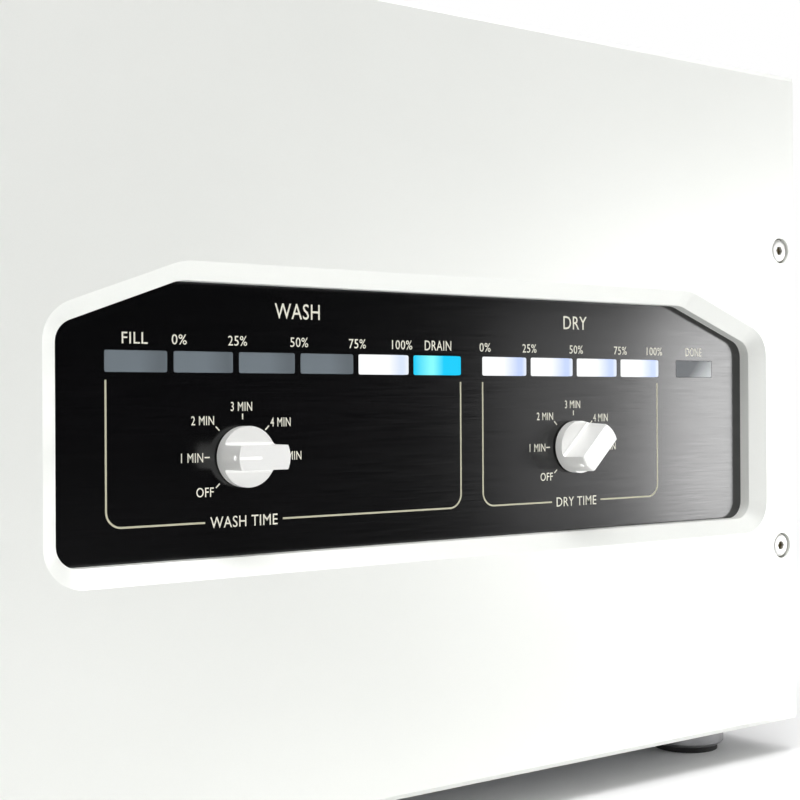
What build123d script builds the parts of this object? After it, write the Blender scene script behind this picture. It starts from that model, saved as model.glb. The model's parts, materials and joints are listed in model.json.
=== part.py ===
from build123d import *
import math
import os

# Record cleaning machine: an aluminium case with a slot in its top, where a long-playing record
# stands on two rollers in an ultrasonic tank, is washed, drained and then dried by air knives.
# Millimetres. +Z is up, the front faces -Y, and the origin is the middle of the footprint.

# ---------------------------------------------------------------- driving dimensions: case
front_w = 439.4            # front plate, overall width
front_h = 324.0            # front plate, overall height
front_t = 11.0             # front plate thickness
front_edge = 2.5           # chamfer around the front plate's face
foot_h = 16.0              # feet, from the table to the base plate
case_depth_inside = 194.0  # from the front plate's back to the rear panel's face
rear_t = 3.0
side_t = 3.0
side_overhang = 1.0        # front plate past each side panel
top_t = 4.0
base_t = 4.0
rail_w = 18.0              # square corner rails
sheet_gap = 0.2            # gap between neighbouring case sheets

front_screw_in = 12.6      # front screw axis in from the front plate's edge
front_screw_pitch = 147.5  # between the two front screws of one side
counterbore_r = 6.3
counterbore_depth = 4.0
front_head_r = 5.7         # flat heads that nearly fill their counterbores
m3_r = 1.5
m4_r = 2.0
m6_r = 3.0
thread_clear = 0.02
sink_r = 3.8               # countersunk heads of the case screws
sink_h = 2.2
case_screw_len = 12.0      # one M4 screw for every cover, foot and the fan
front_screw_len = 14.0
hole_spare = 2.0           # threaded holes are this much deeper than their screws

# ---------------------------------------------------------------- driving dimensions: control panel
knob_drop = 21.7           # knob axes below the middle of the front plate
window_side = 30.6         # window's inner wall in from the front plate's right side
window_offset = 8.6        # window's middle to the right of the front plate's middle
window_up = 65.8           # window's top above the knob axes
window_down = 37.7         # window's bottom below the knob axes
window_cut_w = 48.3        # long chamfer across each top corner
window_cut_h = 17.9
window_corner_r = 8.5
window_cut_r = 15.0        # rounding where the long chamfer meets the top
bevel_w = 6.8              # sloping border around the window
bevel_depth = 5.6

panel_t = 3.0
panel_rail_gap = 1.0       # between the panel's ends and the corner rails
panel_rim = 10.0           # panel past the window, top and bottom
lamp_side = 20.7           # row of indicator windows in from the window's sides
lamp_h = 8.2
lamp_gap = 2.4
lamp_group_gap = 11.6
lamp_up = 35.9             # middle of the indicator windows above the knob axes
lamp_corner_r = 0.8
wash_lamps = 4             # progress windows between the fill window and the drain window
dry_lamps = 4
lens_clear = 0.1
lens_flange = 0.9          # lens flange past its window, hidden behind the panel
lens_flange_t = 1.0
baffle_depth = 12.0
baffle_wall = 1.2
board_t = 1.6

wash_knob_in = 77.4        # wash knob's axis in from the window's left side
dry_knob_left = 1.1        # dry knob's axis left of the middle of its four windows
knob_r = 11.7              # foot of the knob
knob_face_r = 11.0         # at its face
knob_h = 17.5              # face above the panel
knob_foot_h = 5.0          # height of the round foot under the grip
knob_gap = 0.6             # under the knob
grip_half_w = 4.6
grip_fillet = 1.6
shaft_r = 3.0
running = 0.05             # radial clearance of a shaft in its bore
bush_r = 4.6
switch_w = 26.0
switch_depth = 13.0
wash_rest_deg = 180.0      # knob pointer at rest: 180 points to the left, at one minute
dry_rest_deg = 225.0       # down and to the left, at off

# ---------------------------------------------------------------- driving dimensions: wash unit
record_r = 151.0
record_above_top = 15.0    # record's centre above the case top
front_bay = 11.0           # from the front plate's back to the front transducers
slot_w = 14.0              # slot through the top, front to back
lip_gap = 6.0              # between the two soft lips
tank_side = 5.0            # tank's inside past the record, left and right
record_under = 22.0        # shelf's underside below the record's lowest point
slot_end_clear = 5.0       # slot past the record at each end
tank_gap = 28.0            # inside, front to back
tank_wall = 2.0
tank_top_drop = 24.0       # tank's rim below the underside of the top cover
shelf_t = 3.0
roller_angle = 40.0        # rollers below the record's centre line
roller_r = 12.0
roller_w = 12.0
groove_deep = 1.8
hub_r = 7.0
pulley_r = 11.0
motor_pulley_r = 7.5
belt_w = 5.0
belt_t = 1.6
motor_r = 18.5
motor_len = 52.0
motor_seat = 4.9           # motor above the shelf
transducer_r = 22.5
transducer_gap = 2.5       # between a transducer and the motor bracket
transducer_len = 48.0
knife_h = 16.0
knife_d = 14.0
knife_clear = 8.0          # air knife's face from the record plane
duct_gap = 1.0             # between the duct and the tank
duct_side_gap = 15.5       # between the duct and the side panel
duct_wall = 2.0
blower_r = 50.0
blower_under = 3.0         # blower housing's inner wall under the tank
blower_side_gap = 11.5     # between the blower housing and the side panel
blower_foot_h = 6.0
wheel_r = 40.0
wheel_gap = 4.0            # between the wheel and the housing's walls
wheel_blades = 24

# ---------------------------------------------------------------- driving dimensions: the rest
reservoir_left_in = 19.0   # reservoir's left end in from the blower housing's place
reservoir_right_in = 49.0  # its right end in from the blower housing
reservoir_front = 56.0     # behind the front plate's back
reservoir_back = 50.0      # ahead of the rear panel
drain_space = 46.0         # from the reservoir's top to the shelf
filler_in = 18.0           # filler axis in from the reservoir's left end
filler_in_back = 14.0      # and in from its back
filler_bore_r = 11.0
cap_r = 20.0
cap_grip_w = 8.0           # grip bar across the cap
cap_grip_h = 3.0
cap_h = 6.0
fan_w = 80.0
fan_t = 25.0
fan_x = 60.0
fan_top_gap = 26.0         # between the fan's frame and the top cover
outlet_x = 45.0            # drain outlet through the rear panel
outlet_up = 26.0
valve_len = 26.0           # drain valve body behind the rear panel
foot_r = 19.0
foot_in = 38.0             # foot axis in from the case's sides
pad_t = 3.0
clear = 0.3                # between curved faces of different bodies

# ---------------------------------------------------------------- places worked out from them
window_half_w = front_w / 2 - window_offset - window_side
wash_knob_x = window_offset - window_half_w + wash_knob_in
tank_half_w = record_r + tank_side
slot_back = front_bay + transducer_len + tank_wall + tank_gap / 2
knob_reach = knob_h - front_t
spout_len = 16.0
rear_reach = valve_len + spout_len
total_depth = knob_reach + front_t + case_depth_inside + rear_t + rear_reach
y_face = knob_reach - total_depth / 2
y_panel = y_face + front_t
y_rear = y_panel + case_depth_inside
y_back = y_rear + rear_t
y_slot = y_panel + slot_back

z_base = foot_h
z_floor = z_base + base_t
z_top = z_base + front_h
z_deck = z_top - top_t
z_mid = z_base + front_h / 2
z_knob = z_mid - knob_drop

x_side = front_w / 2 - side_overhang
x_in = x_side - side_t
x_rail = x_in - rail_w / 2
front_screw_x = front_w / 2 - front_screw_in

z_record = z_top + record_above_top
z_shelf = z_record - record_r - record_under
z_tank = z_shelf + shelf_t
z_rim = z_deck - tank_top_drop
roller_reach = record_r - groove_deep + roller_r
roller_x = roller_reach * math.cos(math.radians(roller_angle))
z_roller = z_record - roller_reach * math.sin(math.radians(roller_angle))
y_tank_back = y_slot + tank_gap / 2 + tank_wall

wash_count = wash_lamps + 2
lamp_count = wash_count + dry_lamps + 1
lamp_gaps = (wash_count + dry_lamps - 2) * lamp_gap + 2 * lamp_group_gap
lamp_w = (2 * (window_half_w - lamp_side) - lamp_gaps) / lamp_count
lamp_pitch = lamp_w + lamp_gap
wash_row = wash_count * lamp_pitch - lamp_gap
dry_row = dry_lamps * lamp_pitch - lamp_gap
row_w = wash_row + dry_row + lamp_w + 2 * lamp_group_gap
row_start = window_offset - row_w / 2
row_end = row_start + row_w
fill_x = [row_start + lamp_w / 2]
wash_x = [fill_x[0] + lamp_pitch * (i + 1) for i in range(wash_lamps)]
drain_x = [fill_x[0] + lamp_pitch * (wash_lamps + 1)]
dry_start = row_start + wash_row + lamp_group_gap
dry_x = [dry_start + lamp_w / 2 + lamp_pitch * i for i in range(dry_lamps)]
done_x = [row_end - lamp_w / 2]
lamp_x = fill_x + wash_x + drain_x + dry_x + done_x
z_lamp = z_knob + lamp_up
dry_knob_x = dry_start + dry_row / 2 - dry_knob_left


# ---------------------------------------------------------------- small helpers
def block(x0, x1, y0, y1, z0, z1):
    """A box between two corners."""
    size = Box(x1 - x0, y1 - y0, z1 - z0)
    return Pos((x0 + x1) / 2, (y0 + y1) / 2, (z0 + z1) / 2) * size


def rod_x(y, z, x0, x1, r):
    """A cylinder along X."""
    return Pos((x0 + x1) / 2, y, z) * Rot(0, 90, 0) * Cylinder(r, x1 - x0)


def rod_y(x, z, y0, y1, r):
    """A cylinder along Y."""
    return Pos(x, (y0 + y1) / 2, z) * Rot(90, 0, 0) * Cylinder(r, y1 - y0)


def rod_z(x, y, z0, z1, r):
    """A cylinder along Z."""
    return Pos(x, y, (z0 + z1) / 2) * Cylinder(r, z1 - z0)


def upright(sketch, y0, y1):
    """A flat outline drawn in X and Z, made solid from y0 to y1."""
    plane = Plane(origin=(0, y1, 0), x_dir=(1, 0, 0), z_dir=(0, -1, 0))
    return extrude(plane * sketch, amount=y1 - y0)


def group(solids):
    """Separate solids that share one node."""
    return Compound(solids)


def screw(head_r, head_h, shank_r, length, key):
    """A button-head screw: its shank goes down from the origin and its head stands up."""
    head = Pos(0, 0, head_h / 2) * Cylinder(head_r, head_h)
    head = fillet(head.edges().sort_by(Axis.Z)[-1], head_h * 0.45)
    socket = RegularPolygon(radius=key / 2 / math.cos(math.pi / 6), side_count=6)
    head -= Pos(0, 0, head_h * 0.4) * extrude(socket, amount=head_h)
    return head + Pos(0, 0, -length / 2) * Cylinder(shank_r, length)


def facing(x, y, z, outward):
    """A location whose Z axis points outward, for screws and other turned pieces."""
    side = (1, 0, 0) if abs(outward[0]) < 0.5 else (0, 1, 0)
    return Plane(origin=(x, y, z), x_dir=side, z_dir=outward).location


def sink(x, y, z, outward):
    """The countersink for one case screw, its wide end at the given point."""
    spare = 1.0
    wide = sink_r + 0.1
    hole = Pos(0, 0, -sink_h / 2) * Cone(m4_r + 0.1, wide, sink_h)
    hole += rod_z(0, 0, -0.01, spare, wide)
    hole += rod_z(0, 0, -case_screw_len, -sink_h / 2, m4_r + 0.2)
    return facing(x, y, z, outward) * hole


# ---------------------------------------------------------------- case: front plate
def window_outline():
    """The front plate's window: a rectangle with a long chamfer across each top corner."""
    low = z_knob - window_down
    high = z_knob + window_up
    shoulder = high - window_cut_h
    inner = window_half_w - window_cut_w
    points = [
        (-window_half_w, low),
        (window_half_w, low),
        (window_half_w, shoulder),
        (inner, high),
        (-inner, high),
        (-window_half_w, shoulder),
    ]
    face = make_face(Polyline(*points, close=True))
    top = [v for v in face.vertices() if v.Y > high - 0.01]
    face = fillet(top, window_cut_r)
    rest = [v for v in face.vertices() if abs(v.X) > window_half_w - 0.01]
    return Pos(window_offset, 0) * fillet(rest, window_corner_r)


panel_screw_in = 30.5      # outer panel screws in from the window's sides
panel_screw_pitch = window_half_w - panel_screw_in
panel_screw_x = [window_offset + i * panel_screw_pitch for i in (-1, 0, 1)]
panel_screw_z = [z_knob + window_up + panel_rim / 2, z_knob - window_down - panel_rim / 2]
m3_hole_r = 1.7
panel_screw_len = 7.0


def front_screw_places():
    """Axes of the front screws."""
    return [
        (sx * front_screw_x, z_mid + sz * front_screw_pitch / 2)
        for sx in (-1, 1)
        for sz in (-1, 1)
    ]


def make_front_plate():
    """The thick front plate with its bevelled window and counterbored screw holes."""
    plate = block(-front_w / 2, front_w / 2, y_face, y_panel, z_base, z_top)
    face = plate.faces().sort_by(Axis.Y)[0]
    plate = chamfer(face.edges(), front_edge)
    plate -= upright(window_outline(), y_face - 1, y_panel + 1)
    face = plate.faces().filter_by(Axis.Y).sort_by(Axis.Y)[0]
    rim = face.inner_wires()[0].edges()
    plate = chamfer(rim, length=bevel_w, length2=bevel_depth, reference=face)
    for x, z in front_screw_places():
        plate -= rod_y(x, z, y_face - 1, y_panel + 1, m6_r + 0.3)
        plate -= rod_y(x, z, y_face - 1, y_face + counterbore_depth, counterbore_r)
    for x in panel_screw_x:
        for z in panel_screw_z:
            tip = y_panel - panel_screw_len + panel_t
            plate -= rod_y(x, z, tip - 0.5, y_panel + 1, m3_r + thread_clear)
    return plate


# ---------------------------------------------------------------- case: rails, panels, covers
rail_places = [
    (sx * x_rail, y) for sx in (-1, 1) for y in (y_panel + rail_w / 2, y_rear - rail_w / 2)
]
side_screw_z = [z_base + 24.0, z_mid, z_top - 24.0]
rear_screw_z = [z_mid - 100.0, z_mid + 100.0]


def make_rails():
    """Four square corner rails that every panel is screwed to."""
    rails = []
    for x, y in rail_places:
        half = rail_w / 2
        side = 1 if x > 0 else -1
        rail = block(x - half, x + half, y - half, y + half, z_floor, z_deck)
        deep = case_screw_len - top_t + hole_spare
        rail -= rod_z(x, y, z_deck - deep, z_deck + 1, m4_r + thread_clear)
        rail -= rod_z(x, y, z_floor - 1, z_floor + deep, m4_r + thread_clear)
        deep = case_screw_len - side_t + hole_spare
        for z in side_screw_z:
            lo, hi = sorted((side * (x_in - deep), side * (x_in + 1)))
            rail -= rod_x(y, z, lo, hi, m4_r + thread_clear)
        if y < y_slot:
            for px, z in front_screw_places():
                if px * x > 0:
                    tip = y_face + counterbore_depth + front_screw_len + hole_spare
                    rail -= rod_y(px, z, y_panel - 1, tip, m6_r + thread_clear)
        else:
            for z in rear_screw_z:
                rail -= rod_y(x, z, y_rear - deep, y_rear + 1, m4_r + thread_clear)
        rails.append(rail)
    return group(rails)


vent_len = 36.0
vent_h = 3.2
vent_pitch = 8.0
vent_rows = 9
vent_columns = 2
vent_z0 = z_floor + 16.0
vent_y0 = y_panel + 66.0


def slot_x(y0, z, x0, x1):
    """One round-ended ventilation slot cut through a side panel."""
    shape = Plane(origin=(x0, y0, z), x_dir=(0, 1, 0), z_dir=(1, 0, 0))
    return extrude(shape * SlotOverall(vent_len, vent_h), amount=x1 - x0)


def make_side_panel(side):
    """A side panel with its ventilation slots; side is -1 on the left and 1 on the right."""
    lo, hi = sorted((side * x_in, side * x_side))
    panel = block(lo, hi, y_panel, y_rear, z_base, z_top)
    for column in range(vent_columns):
        for row in range(vent_rows):
            y = vent_y0 + column * (vent_len + 10.0)
            panel -= slot_x(y, vent_z0 + row * vent_pitch, lo - 1, hi + 1)
    for x, y in rail_places:
        if x * side > 0:
            for z in side_screw_z:
                panel -= sink(side * x_side, y, z, (side, 0, 0))
    return panel


inlet_side = 54.5          # mains inlet in from the left side panel
inlet_up = 44.0
inlet_x = inlet_side - x_in
inlet_z = z_base + inlet_up
inlet_w = 27.4
inlet_h = 20.0
rocker_pitch = 44.0        # from the inlet to the switch
rocker_x = inlet_x + rocker_pitch
rocker_w = 13.0
rocker_h = 19.4
grille_r = 36.0
grille_hole_r = 2.3
grille_pitch = 6.4
z_fan = z_deck - fan_top_gap - fan_w / 2
z_outlet = z_floor + outlet_up
pipe_r = 7.0
fan_screw_in = 4.25        # screw axes in from the fan's sides
fan_screw_spread = fan_w - 2 * fan_screw_in
rear_vent_x = -96.0
rear_vent_rows = 7
rear_vent_z0 = z_mid + 40.0


def grille_holes():
    """Hexagonal field of round holes over the fan."""
    holes = []
    reach = int(grille_r / grille_pitch) + 1
    for row in range(-reach, reach + 1):
        for col in range(-reach - 1, reach + 2):
            x = (col + (0.5 if row % 2 else 0.0)) * grille_pitch
            z = row * grille_pitch * math.sqrt(3) / 2
            if math.hypot(x, z) <= grille_r - grille_hole_r:
                holes.append(Pos(fan_x + x, z_fan + z) * Circle(grille_hole_r))
    return Sketch() + holes


def rear_screw_places():
    """Screws through the rear panel: into the rails, and into the fan's frame."""
    half = fan_screw_spread / 2
    places = [(fan_x + sx * half, z_fan + sz * half) for sx in (-1, 1) for sz in (-1, 1)]
    return places + [(x, z) for x, y in rail_places if y > y_slot for z in rear_screw_z]


def make_rear_panel():
    """The rear panel with the fan's punched grille, the mains cut-outs and the drain hole."""
    panel = block(-x_side, x_side, y_rear, y_back, z_base, z_top)
    cut = grille_holes()
    cut += Pos(inlet_x, inlet_z) * RectangleRounded(inlet_w, inlet_h, 2.0)
    cut += Pos(rocker_x, inlet_z) * Rectangle(rocker_w, rocker_h)
    cut += Pos(outlet_x, z_outlet) * Circle(pipe_r + 0.5)
    for row in range(rear_vent_rows):
        place = Pos(rear_vent_x, rear_vent_z0 + row * vent_pitch)
        cut += place * SlotOverall(vent_len, vent_h)
    panel -= upright(cut, y_rear - 1, y_back + 1)
    for x, z in rear_screw_places():
        panel -= sink(x, y_back, z, (0, 1, 0))
    return panel


slot_half_len = record_r + slot_end_clear
bezel_rim = 7.0
bezel_up = 2.0
neck_wall = 2.0
neck_clear = 1.0           # around the filler pipe in the top cover
neck_flange = 7.0
neck_r = filler_bore_r + neck_wall
blower_in = tank_half_w + tank_wall - blower_under
y_res_front = y_panel + reservoir_front
y_res_back = y_rear - reservoir_back
reservoir_left = reservoir_left_in - blower_in
reservoir_right = blower_in - reservoir_right_in
filler_x = reservoir_left + filler_in
y_filler = y_res_back - filler_in_back


def make_top_cover():
    """The top cover with the record slot's cut-out and the filler's hole."""
    cover = block(-x_in + sheet_gap, x_in - sheet_gap, y_panel, y_rear, z_deck, z_top)
    cut_w = 2 * slot_half_len + bezel_rim
    cut_d = slot_w + bezel_rim
    cover -= block(-cut_w / 2, cut_w / 2, y_slot - cut_d / 2, y_slot + cut_d / 2, z_deck - 1, z_top + 1)
    cover -= rod_z(filler_x, y_filler, z_deck - 1, z_top + 1, neck_r + neck_clear)
    for x, y in rail_places:
        cover -= sink(x, y, z_top, (0, 0, 1))
    return cover


def make_slot_bezel():
    """Moulded frame around the record slot, with a funnel-shaped mouth."""
    outer_w = 2 * slot_half_len + 2 * bezel_rim
    outer_d = slot_w + 2 * bezel_rim
    flange = extrude(RectangleRounded(outer_w, outer_d, 6.0), amount=bezel_up)
    flange = chamfer(flange.faces().sort_by(Axis.Z)[-1].edges(), 0.8)
    neck_w = 2 * slot_half_len + bezel_rim - 2 * sheet_gap
    neck_d = slot_w + bezel_rim - 2 * sheet_gap
    frame = flange + Pos(0, 0, -top_t / 2) * Box(neck_w, neck_d, top_t)
    frame -= Pos(0, 0, 0) * Box(2 * slot_half_len, slot_w, 4 * top_t)
    mouth = frame.faces().sort_by(Axis.Z)[-1].inner_wires()[0].edges()
    frame = chamfer(mouth, 1.2)
    return Pos(0, y_slot, z_top) * frame


def make_slot_lips():
    """Two soft strips inside the bezel that stop splashes and steady the record."""
    lips = []
    for side in (-1, 1):
        inner = y_slot + side * lip_gap / 2
        outer = y_slot + side * slot_w / 2
        lo, hi = sorted((inner, outer))
        half = slot_half_len
        strip = block(-half, half, lo, hi, z_deck, z_top)
        lips.append(strip)
    return group(lips)


base_vent_rows = 6
base_vent_x = 138.0


def foot_places():
    """Feet stand under the corners."""
    xs = x_side - foot_in
    ys = (y_panel + foot_in - 8.0, y_rear - foot_in + 8.0)
    return [(sx * xs, y) for sx in (-1, 1) for y in ys]


def make_base_plate():
    """The base plate with intake slots under each blower and screw holes for rails and feet."""
    base = block(-x_in + sheet_gap, x_in - sheet_gap, y_panel, y_rear, z_base, z_floor)
    for side in (-1, 1):
        for row in range(base_vent_rows):
            y = y_slot + 12.0 + row * vent_pitch
            shape = Pos(side * base_vent_x, y) * SlotOverall(vent_len - 8.0, vent_h)
            plane = Plane(origin=(0, 0, z_base - 1))
            base -= extrude(plane * shape, amount=base_t + 2)
    for x, y in rail_places:
        base -= sink(x, y, z_base, (0, 0, -1))
    for x, y in foot_places():
        base -= rod_z(x, y, z_base - 1, z_floor + 1, m4_r + thread_clear)
    return base


foot_pocket_r = 4.6
z_foot_seat = z_floor - case_screw_len     # outer face of the screw's head


def make_foot_cups():
    """Four turned aluminium feet, each with a deep pocket for its screw."""
    cup = rod_z(0, 0, pad_t, z_base, foot_r)
    cup = chamfer(cup.edges().filter_by(GeomType.CIRCLE).sort_by(Axis.Z)[0], 1.5)
    cup -= rod_z(0, 0, pad_t - 1, z_base + 1, m4_r + 0.2)
    cup -= rod_z(0, 0, pad_t - 1, z_foot_seat, foot_pocket_r)
    cup -= sink(0, 0, z_foot_seat, (0, 0, -1))
    return group([Pos(x, y, 0) * cup for x, y in foot_places()])


def make_foot_pads():
    """Rubber rings under the feet."""
    ring = rod_z(0, 0, 0, pad_t, foot_r - 3.0) - rod_z(0, 0, -1, pad_t + 1, foot_pocket_r)
    return group([Pos(x, y, 0) * ring for x, y in foot_places()])


# ---------------------------------------------------------------- screws
def make_front_screws():
    """M6 button heads sunk in the front plate's counterbores."""
    one = screw(front_head_r, 3.3, m6_r, front_screw_len, 4.0)
    y = y_face + counterbore_depth
    return group([facing(x, y, z, (0, -1, 0)) * one for x, z in front_screw_places()])


def make_case_screws():
    """One size of M4 countersunk screw for the covers, the feet and the fan."""
    one = rod_z(0, 0, -case_screw_len, 0, m4_r)
    one += Pos(0, 0, -sink_h / 2) * Cone(m4_r, sink_r, sink_h)
    socket = RegularPolygon(radius=2.5 / 2 / math.cos(math.pi / 6), side_count=6)
    one -= Pos(0, 0, -1.6) * extrude(socket, amount=4.0)
    screws = []
    for x, y in rail_places:
        side = 1 if x > 0 else -1
        screws.append(facing(x, y, z_top, (0, 0, 1)) * one)
        screws.append(facing(x, y, z_base, (0, 0, -1)) * one)
        screws += [facing(side * x_side, y, z, (side, 0, 0)) * one for z in side_screw_z]
    screws += [facing(x, y_back, z, (0, 1, 0)) * one for x, z in rear_screw_places()]
    screws += [facing(x, y, z_foot_seat, (0, 0, -1)) * one for x, y in foot_places()]
    return group(screws)


# ---------------------------------------------------------------- control panel and its lamps
def bar(x, w, h, r):
    """A rounded rectangle at lamp height, drawn in X and Z."""
    return Pos(x, z_lamp) * RectangleRounded(w, h, r)


def make_control_panel():
    """The dark panel behind the window, with eleven lamp windows and two shaft holes."""
    half = x_in - rail_w - panel_rail_gap
    low = z_knob - window_down - panel_rim
    high = z_knob + window_up + panel_rim
    panel = block(-half, half, y_panel, y_panel + panel_t, low, high)
    cut = Sketch()
    for x in lamp_x:
        cut += bar(x, lamp_w, lamp_h, lamp_corner_r)
    for x in (wash_knob_x, dry_knob_x):
        cut += Pos(x, z_knob) * Circle(bush_r + running)
    for x in panel_screw_x:
        for z in panel_screw_z:
            cut += Pos(x, z) * Circle(m3_hole_r)
    return panel - upright(cut, y_panel - 1, y_panel + panel_t + 1)


def make_lenses(centres):
    """Translucent indicator lenses: each fills its window and has a flange behind the panel."""
    lenses = []
    back = y_panel + panel_t
    for x in centres:
        face = bar(x, lamp_w - 2 * lens_clear, lamp_h - 2 * lens_clear, lamp_corner_r)
        lens = upright(face, y_panel, back)
        flange = bar(x, lamp_w + 2 * lens_flange, lamp_h + 2 * lens_flange, lamp_corner_r)
        lens += upright(flange, back, back + lens_flange_t)
        lenses.append(lens)
    return group(lenses)


def make_lamp_baffle():
    """The light box behind the lenses: one white cell for each lamp."""
    front = y_panel + panel_t
    back = front + baffle_depth
    margin = lens_flange + baffle_wall
    box = block(row_start - margin, row_end + margin, front, back,
                z_lamp - lamp_h / 2 - 2 * margin, z_lamp + lamp_h / 2 + 2 * margin)
    starts = (row_start, dry_start, row_end - lamp_w)
    lengths = (wash_row, dry_row, lamp_w)
    for start, length in zip(starts, lengths):
        edge = lens_flange + lens_clear
        box -= block(start - edge, start + length + edge, front - 1, front + lens_flange_t,
                     z_lamp - lamp_h / 2 - edge, z_lamp + lamp_h / 2 + edge)
    for x in lamp_x:
        half = lamp_w / 2 - baffle_wall / 2
        box -= block(x - half, x + half, front, back + 1,
                     z_lamp - lamp_h / 2 + 0.4, z_lamp + lamp_h / 2 - 0.4)
    return box


board_past = 8.0           # board past the row of lamps at each end
board_half_h = 15.0
plug_in = 40.0             # sockets in from the board's ends
plug_w = 20.0
plug_h = 8.0
plug_t = 6.0
plug_up = 3.0              # sockets above the board's lower edge


def make_display_board():
    """The circuit board that closes the light box, with two sockets on its back."""
    front = y_panel + panel_t + baffle_depth
    back = front + board_t
    x0, x1 = row_start - board_past, row_end + board_past
    low = z_lamp - board_half_h
    board = block(x0, x1, front, back, low, z_lamp + board_half_h)
    for x in (x0 + plug_in, x1 - plug_in):
        board += block(x - plug_w / 2, x + plug_w / 2, back, back + plug_t,
                       low + plug_up, low + plug_up + plug_h)
    return board


def make_lamps():
    """One light-emitting diode in each cell of the light box."""
    front = y_panel + panel_t + baffle_depth
    return group([block(x - 2.5, x + 2.5, front - 2.0, front, z_lamp - 2.5, z_lamp + 2.5)
                  for x in lamp_x])


def make_panel_screws():
    """M3 screws from behind that hold the control panel to the front plate."""
    one = screw(2.8, 1.7, m3_r, panel_screw_len, 2.0)
    y = y_panel + panel_t
    return group([facing(x, y, z, (0, 1, 0)) * one for x in panel_screw_x for z in panel_screw_z])


nut_t = 2.0
nut_key = 12.0


def make_switch(x):
    """A rotary switch with its bush through the panel and its nut in front."""
    back = y_panel + panel_t
    body = block(x - switch_w / 2, x + switch_w / 2, back, back + switch_depth,
                 z_knob - switch_w / 2, z_knob + switch_w / 2)
    body = chamfer(body.edges().filter_by(Axis.Y), 3.0)
    body += rod_y(x, z_knob, y_panel - nut_t - 0.4, back + 1, bush_r)
    nut = Pos(x, z_knob) * RegularPolygon(radius=nut_key / 2 / math.cos(math.pi / 6), side_count=6)
    body += upright(nut, y_panel - nut_t, y_panel)
    for i in range(8):
        angle = math.radians(45.0 * i + 22.5)
        px = x + 9.0 * math.cos(angle)
        pz = z_knob + 9.0 * math.sin(angle)
        body += rod_y(px, pz, back + switch_depth - 1, back + switch_depth + 4.0, 0.7)
    body -= rod_y(x, z_knob, y_panel - 10, back + switch_depth - 3.0, shaft_r + running)
    return body


def knob_place(x, degrees):
    """Where a knob stands: Z along its shaft to the front, X towards its pointer."""
    a = math.radians(degrees)
    plane = Plane(origin=(x, y_panel, z_knob), x_dir=(math.cos(a), 0, math.sin(a)), z_dir=(0, -1, 0))
    return plane.location


knob_nut_clear = 3.2       # height under the knob that is hollowed for the nut
nut_recess_r = 8.0
knob_bore_top = 12.0
pointer_len = 9.4
pointer_w = 0.9
pointer_deep = 0.3
flat_at = 0.5              # depth of the flat on the switch's shaft


def make_knob(x, degrees):
    """A turned aluminium knob with both sides milled down to leave a grip bar."""
    profile = Polyline(
        (0, knob_gap),
        (knob_r - 0.3, knob_gap),
        (knob_r, knob_gap + 0.3),
        (knob_r, knob_foot_h),
        (knob_face_r, knob_h - 0.5),
        (knob_face_r - 0.5, knob_h),
        (0, knob_h),
        close=True,
    )
    knob = revolve(Plane.XZ * make_face(profile), Axis.Z)
    scoop = Polyline((grip_half_w, knob_foot_h), (grip_half_w, knob_h + 1),
                     (knob_r + 2, knob_h + 1), (knob_r + 2, knob_foot_h), close=True)
    scoop = make_face(scoop)
    corner = [v for v in scoop.vertices() if v.X < grip_half_w + 0.1 and v.Y < knob_foot_h + 0.1]
    scoop = fillet(corner, grip_fillet)
    cut = extrude(Plane.YZ * scoop, amount=2 * knob_r, both=True)
    knob -= cut
    knob -= mirror(cut, Plane.XZ)
    knob -= Pos(0, 0, knob_gap) * Cylinder(nut_recess_r, 2 * (knob_nut_clear - knob_gap))
    bore = Cylinder(shaft_r + 0.02, 2 * knob_bore_top)
    bore -= Pos(-2 * shaft_r + flat_at - 0.02, 0, 0) * Box(2 * shaft_r, 2 * shaft_r, 4 * knob_bore_top)
    knob -= bore
    start = knob_face_r - pointer_len
    knob -= Pos((start + knob_r) / 2, 0, knob_h) * Box(knob_r - start, pointer_w, 2 * pointer_deep)
    return knob_place(x, degrees) * knob


def make_shaft(x, degrees):
    """The switch's shaft, with a flat that the knob's bore fits."""
    low = -(panel_t + switch_depth - 4.0)
    high = knob_bore_top - 0.3
    shaft = rod_z(0, 0, low, high, shaft_r)
    shaft -= Pos(-2 * shaft_r + flat_at, 0, high + 0.5) * Box(2 * shaft_r, 2 * shaft_r, 2 * high)
    return knob_place(x, degrees) * shaft


# ---------------------------------------------------------------- tank, shelf and rollers
shelf_start = 48.0         # shelf's front edge behind the front plate's back
shelf_front = y_panel + shelf_start
post_r = 6.0
post_in = 7.0              # front posts behind the shelf's front edge
post_blower_gap = 4.0      # between a front post and the blower housing
post_back_gap = 5.0        # between a rear post and the blower housing
post_side_in = 32.5        # rear posts in from the side panels
tank_flange = knife_clear + knife_d - tank_gap / 2 - tank_wall
seal_r = 8.0
seal_out = 4.0
tank_drain_r = 8.0
y_blower = y_slot - knife_clear - knife_d + blower_r
front_post_x = blower_in - post_blower_gap - post_r
rear_post_x = x_in - post_side_in
rear_post_y = y_blower + blower_r + post_back_gap + post_r
post_places = [(-front_post_x, shelf_front + post_in), (front_post_x, shelf_front + post_in),
               (-rear_post_x, rear_post_y), (rear_post_x, rear_post_y)]


def duct_span():
    """The duct's outer faces: inner X, outer X, front Y and back Y."""
    x0 = tank_half_w + tank_wall + duct_gap
    half = knife_clear + knife_d
    return x0, x_in - duct_side_gap, y_slot - half, y_slot + half


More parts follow.
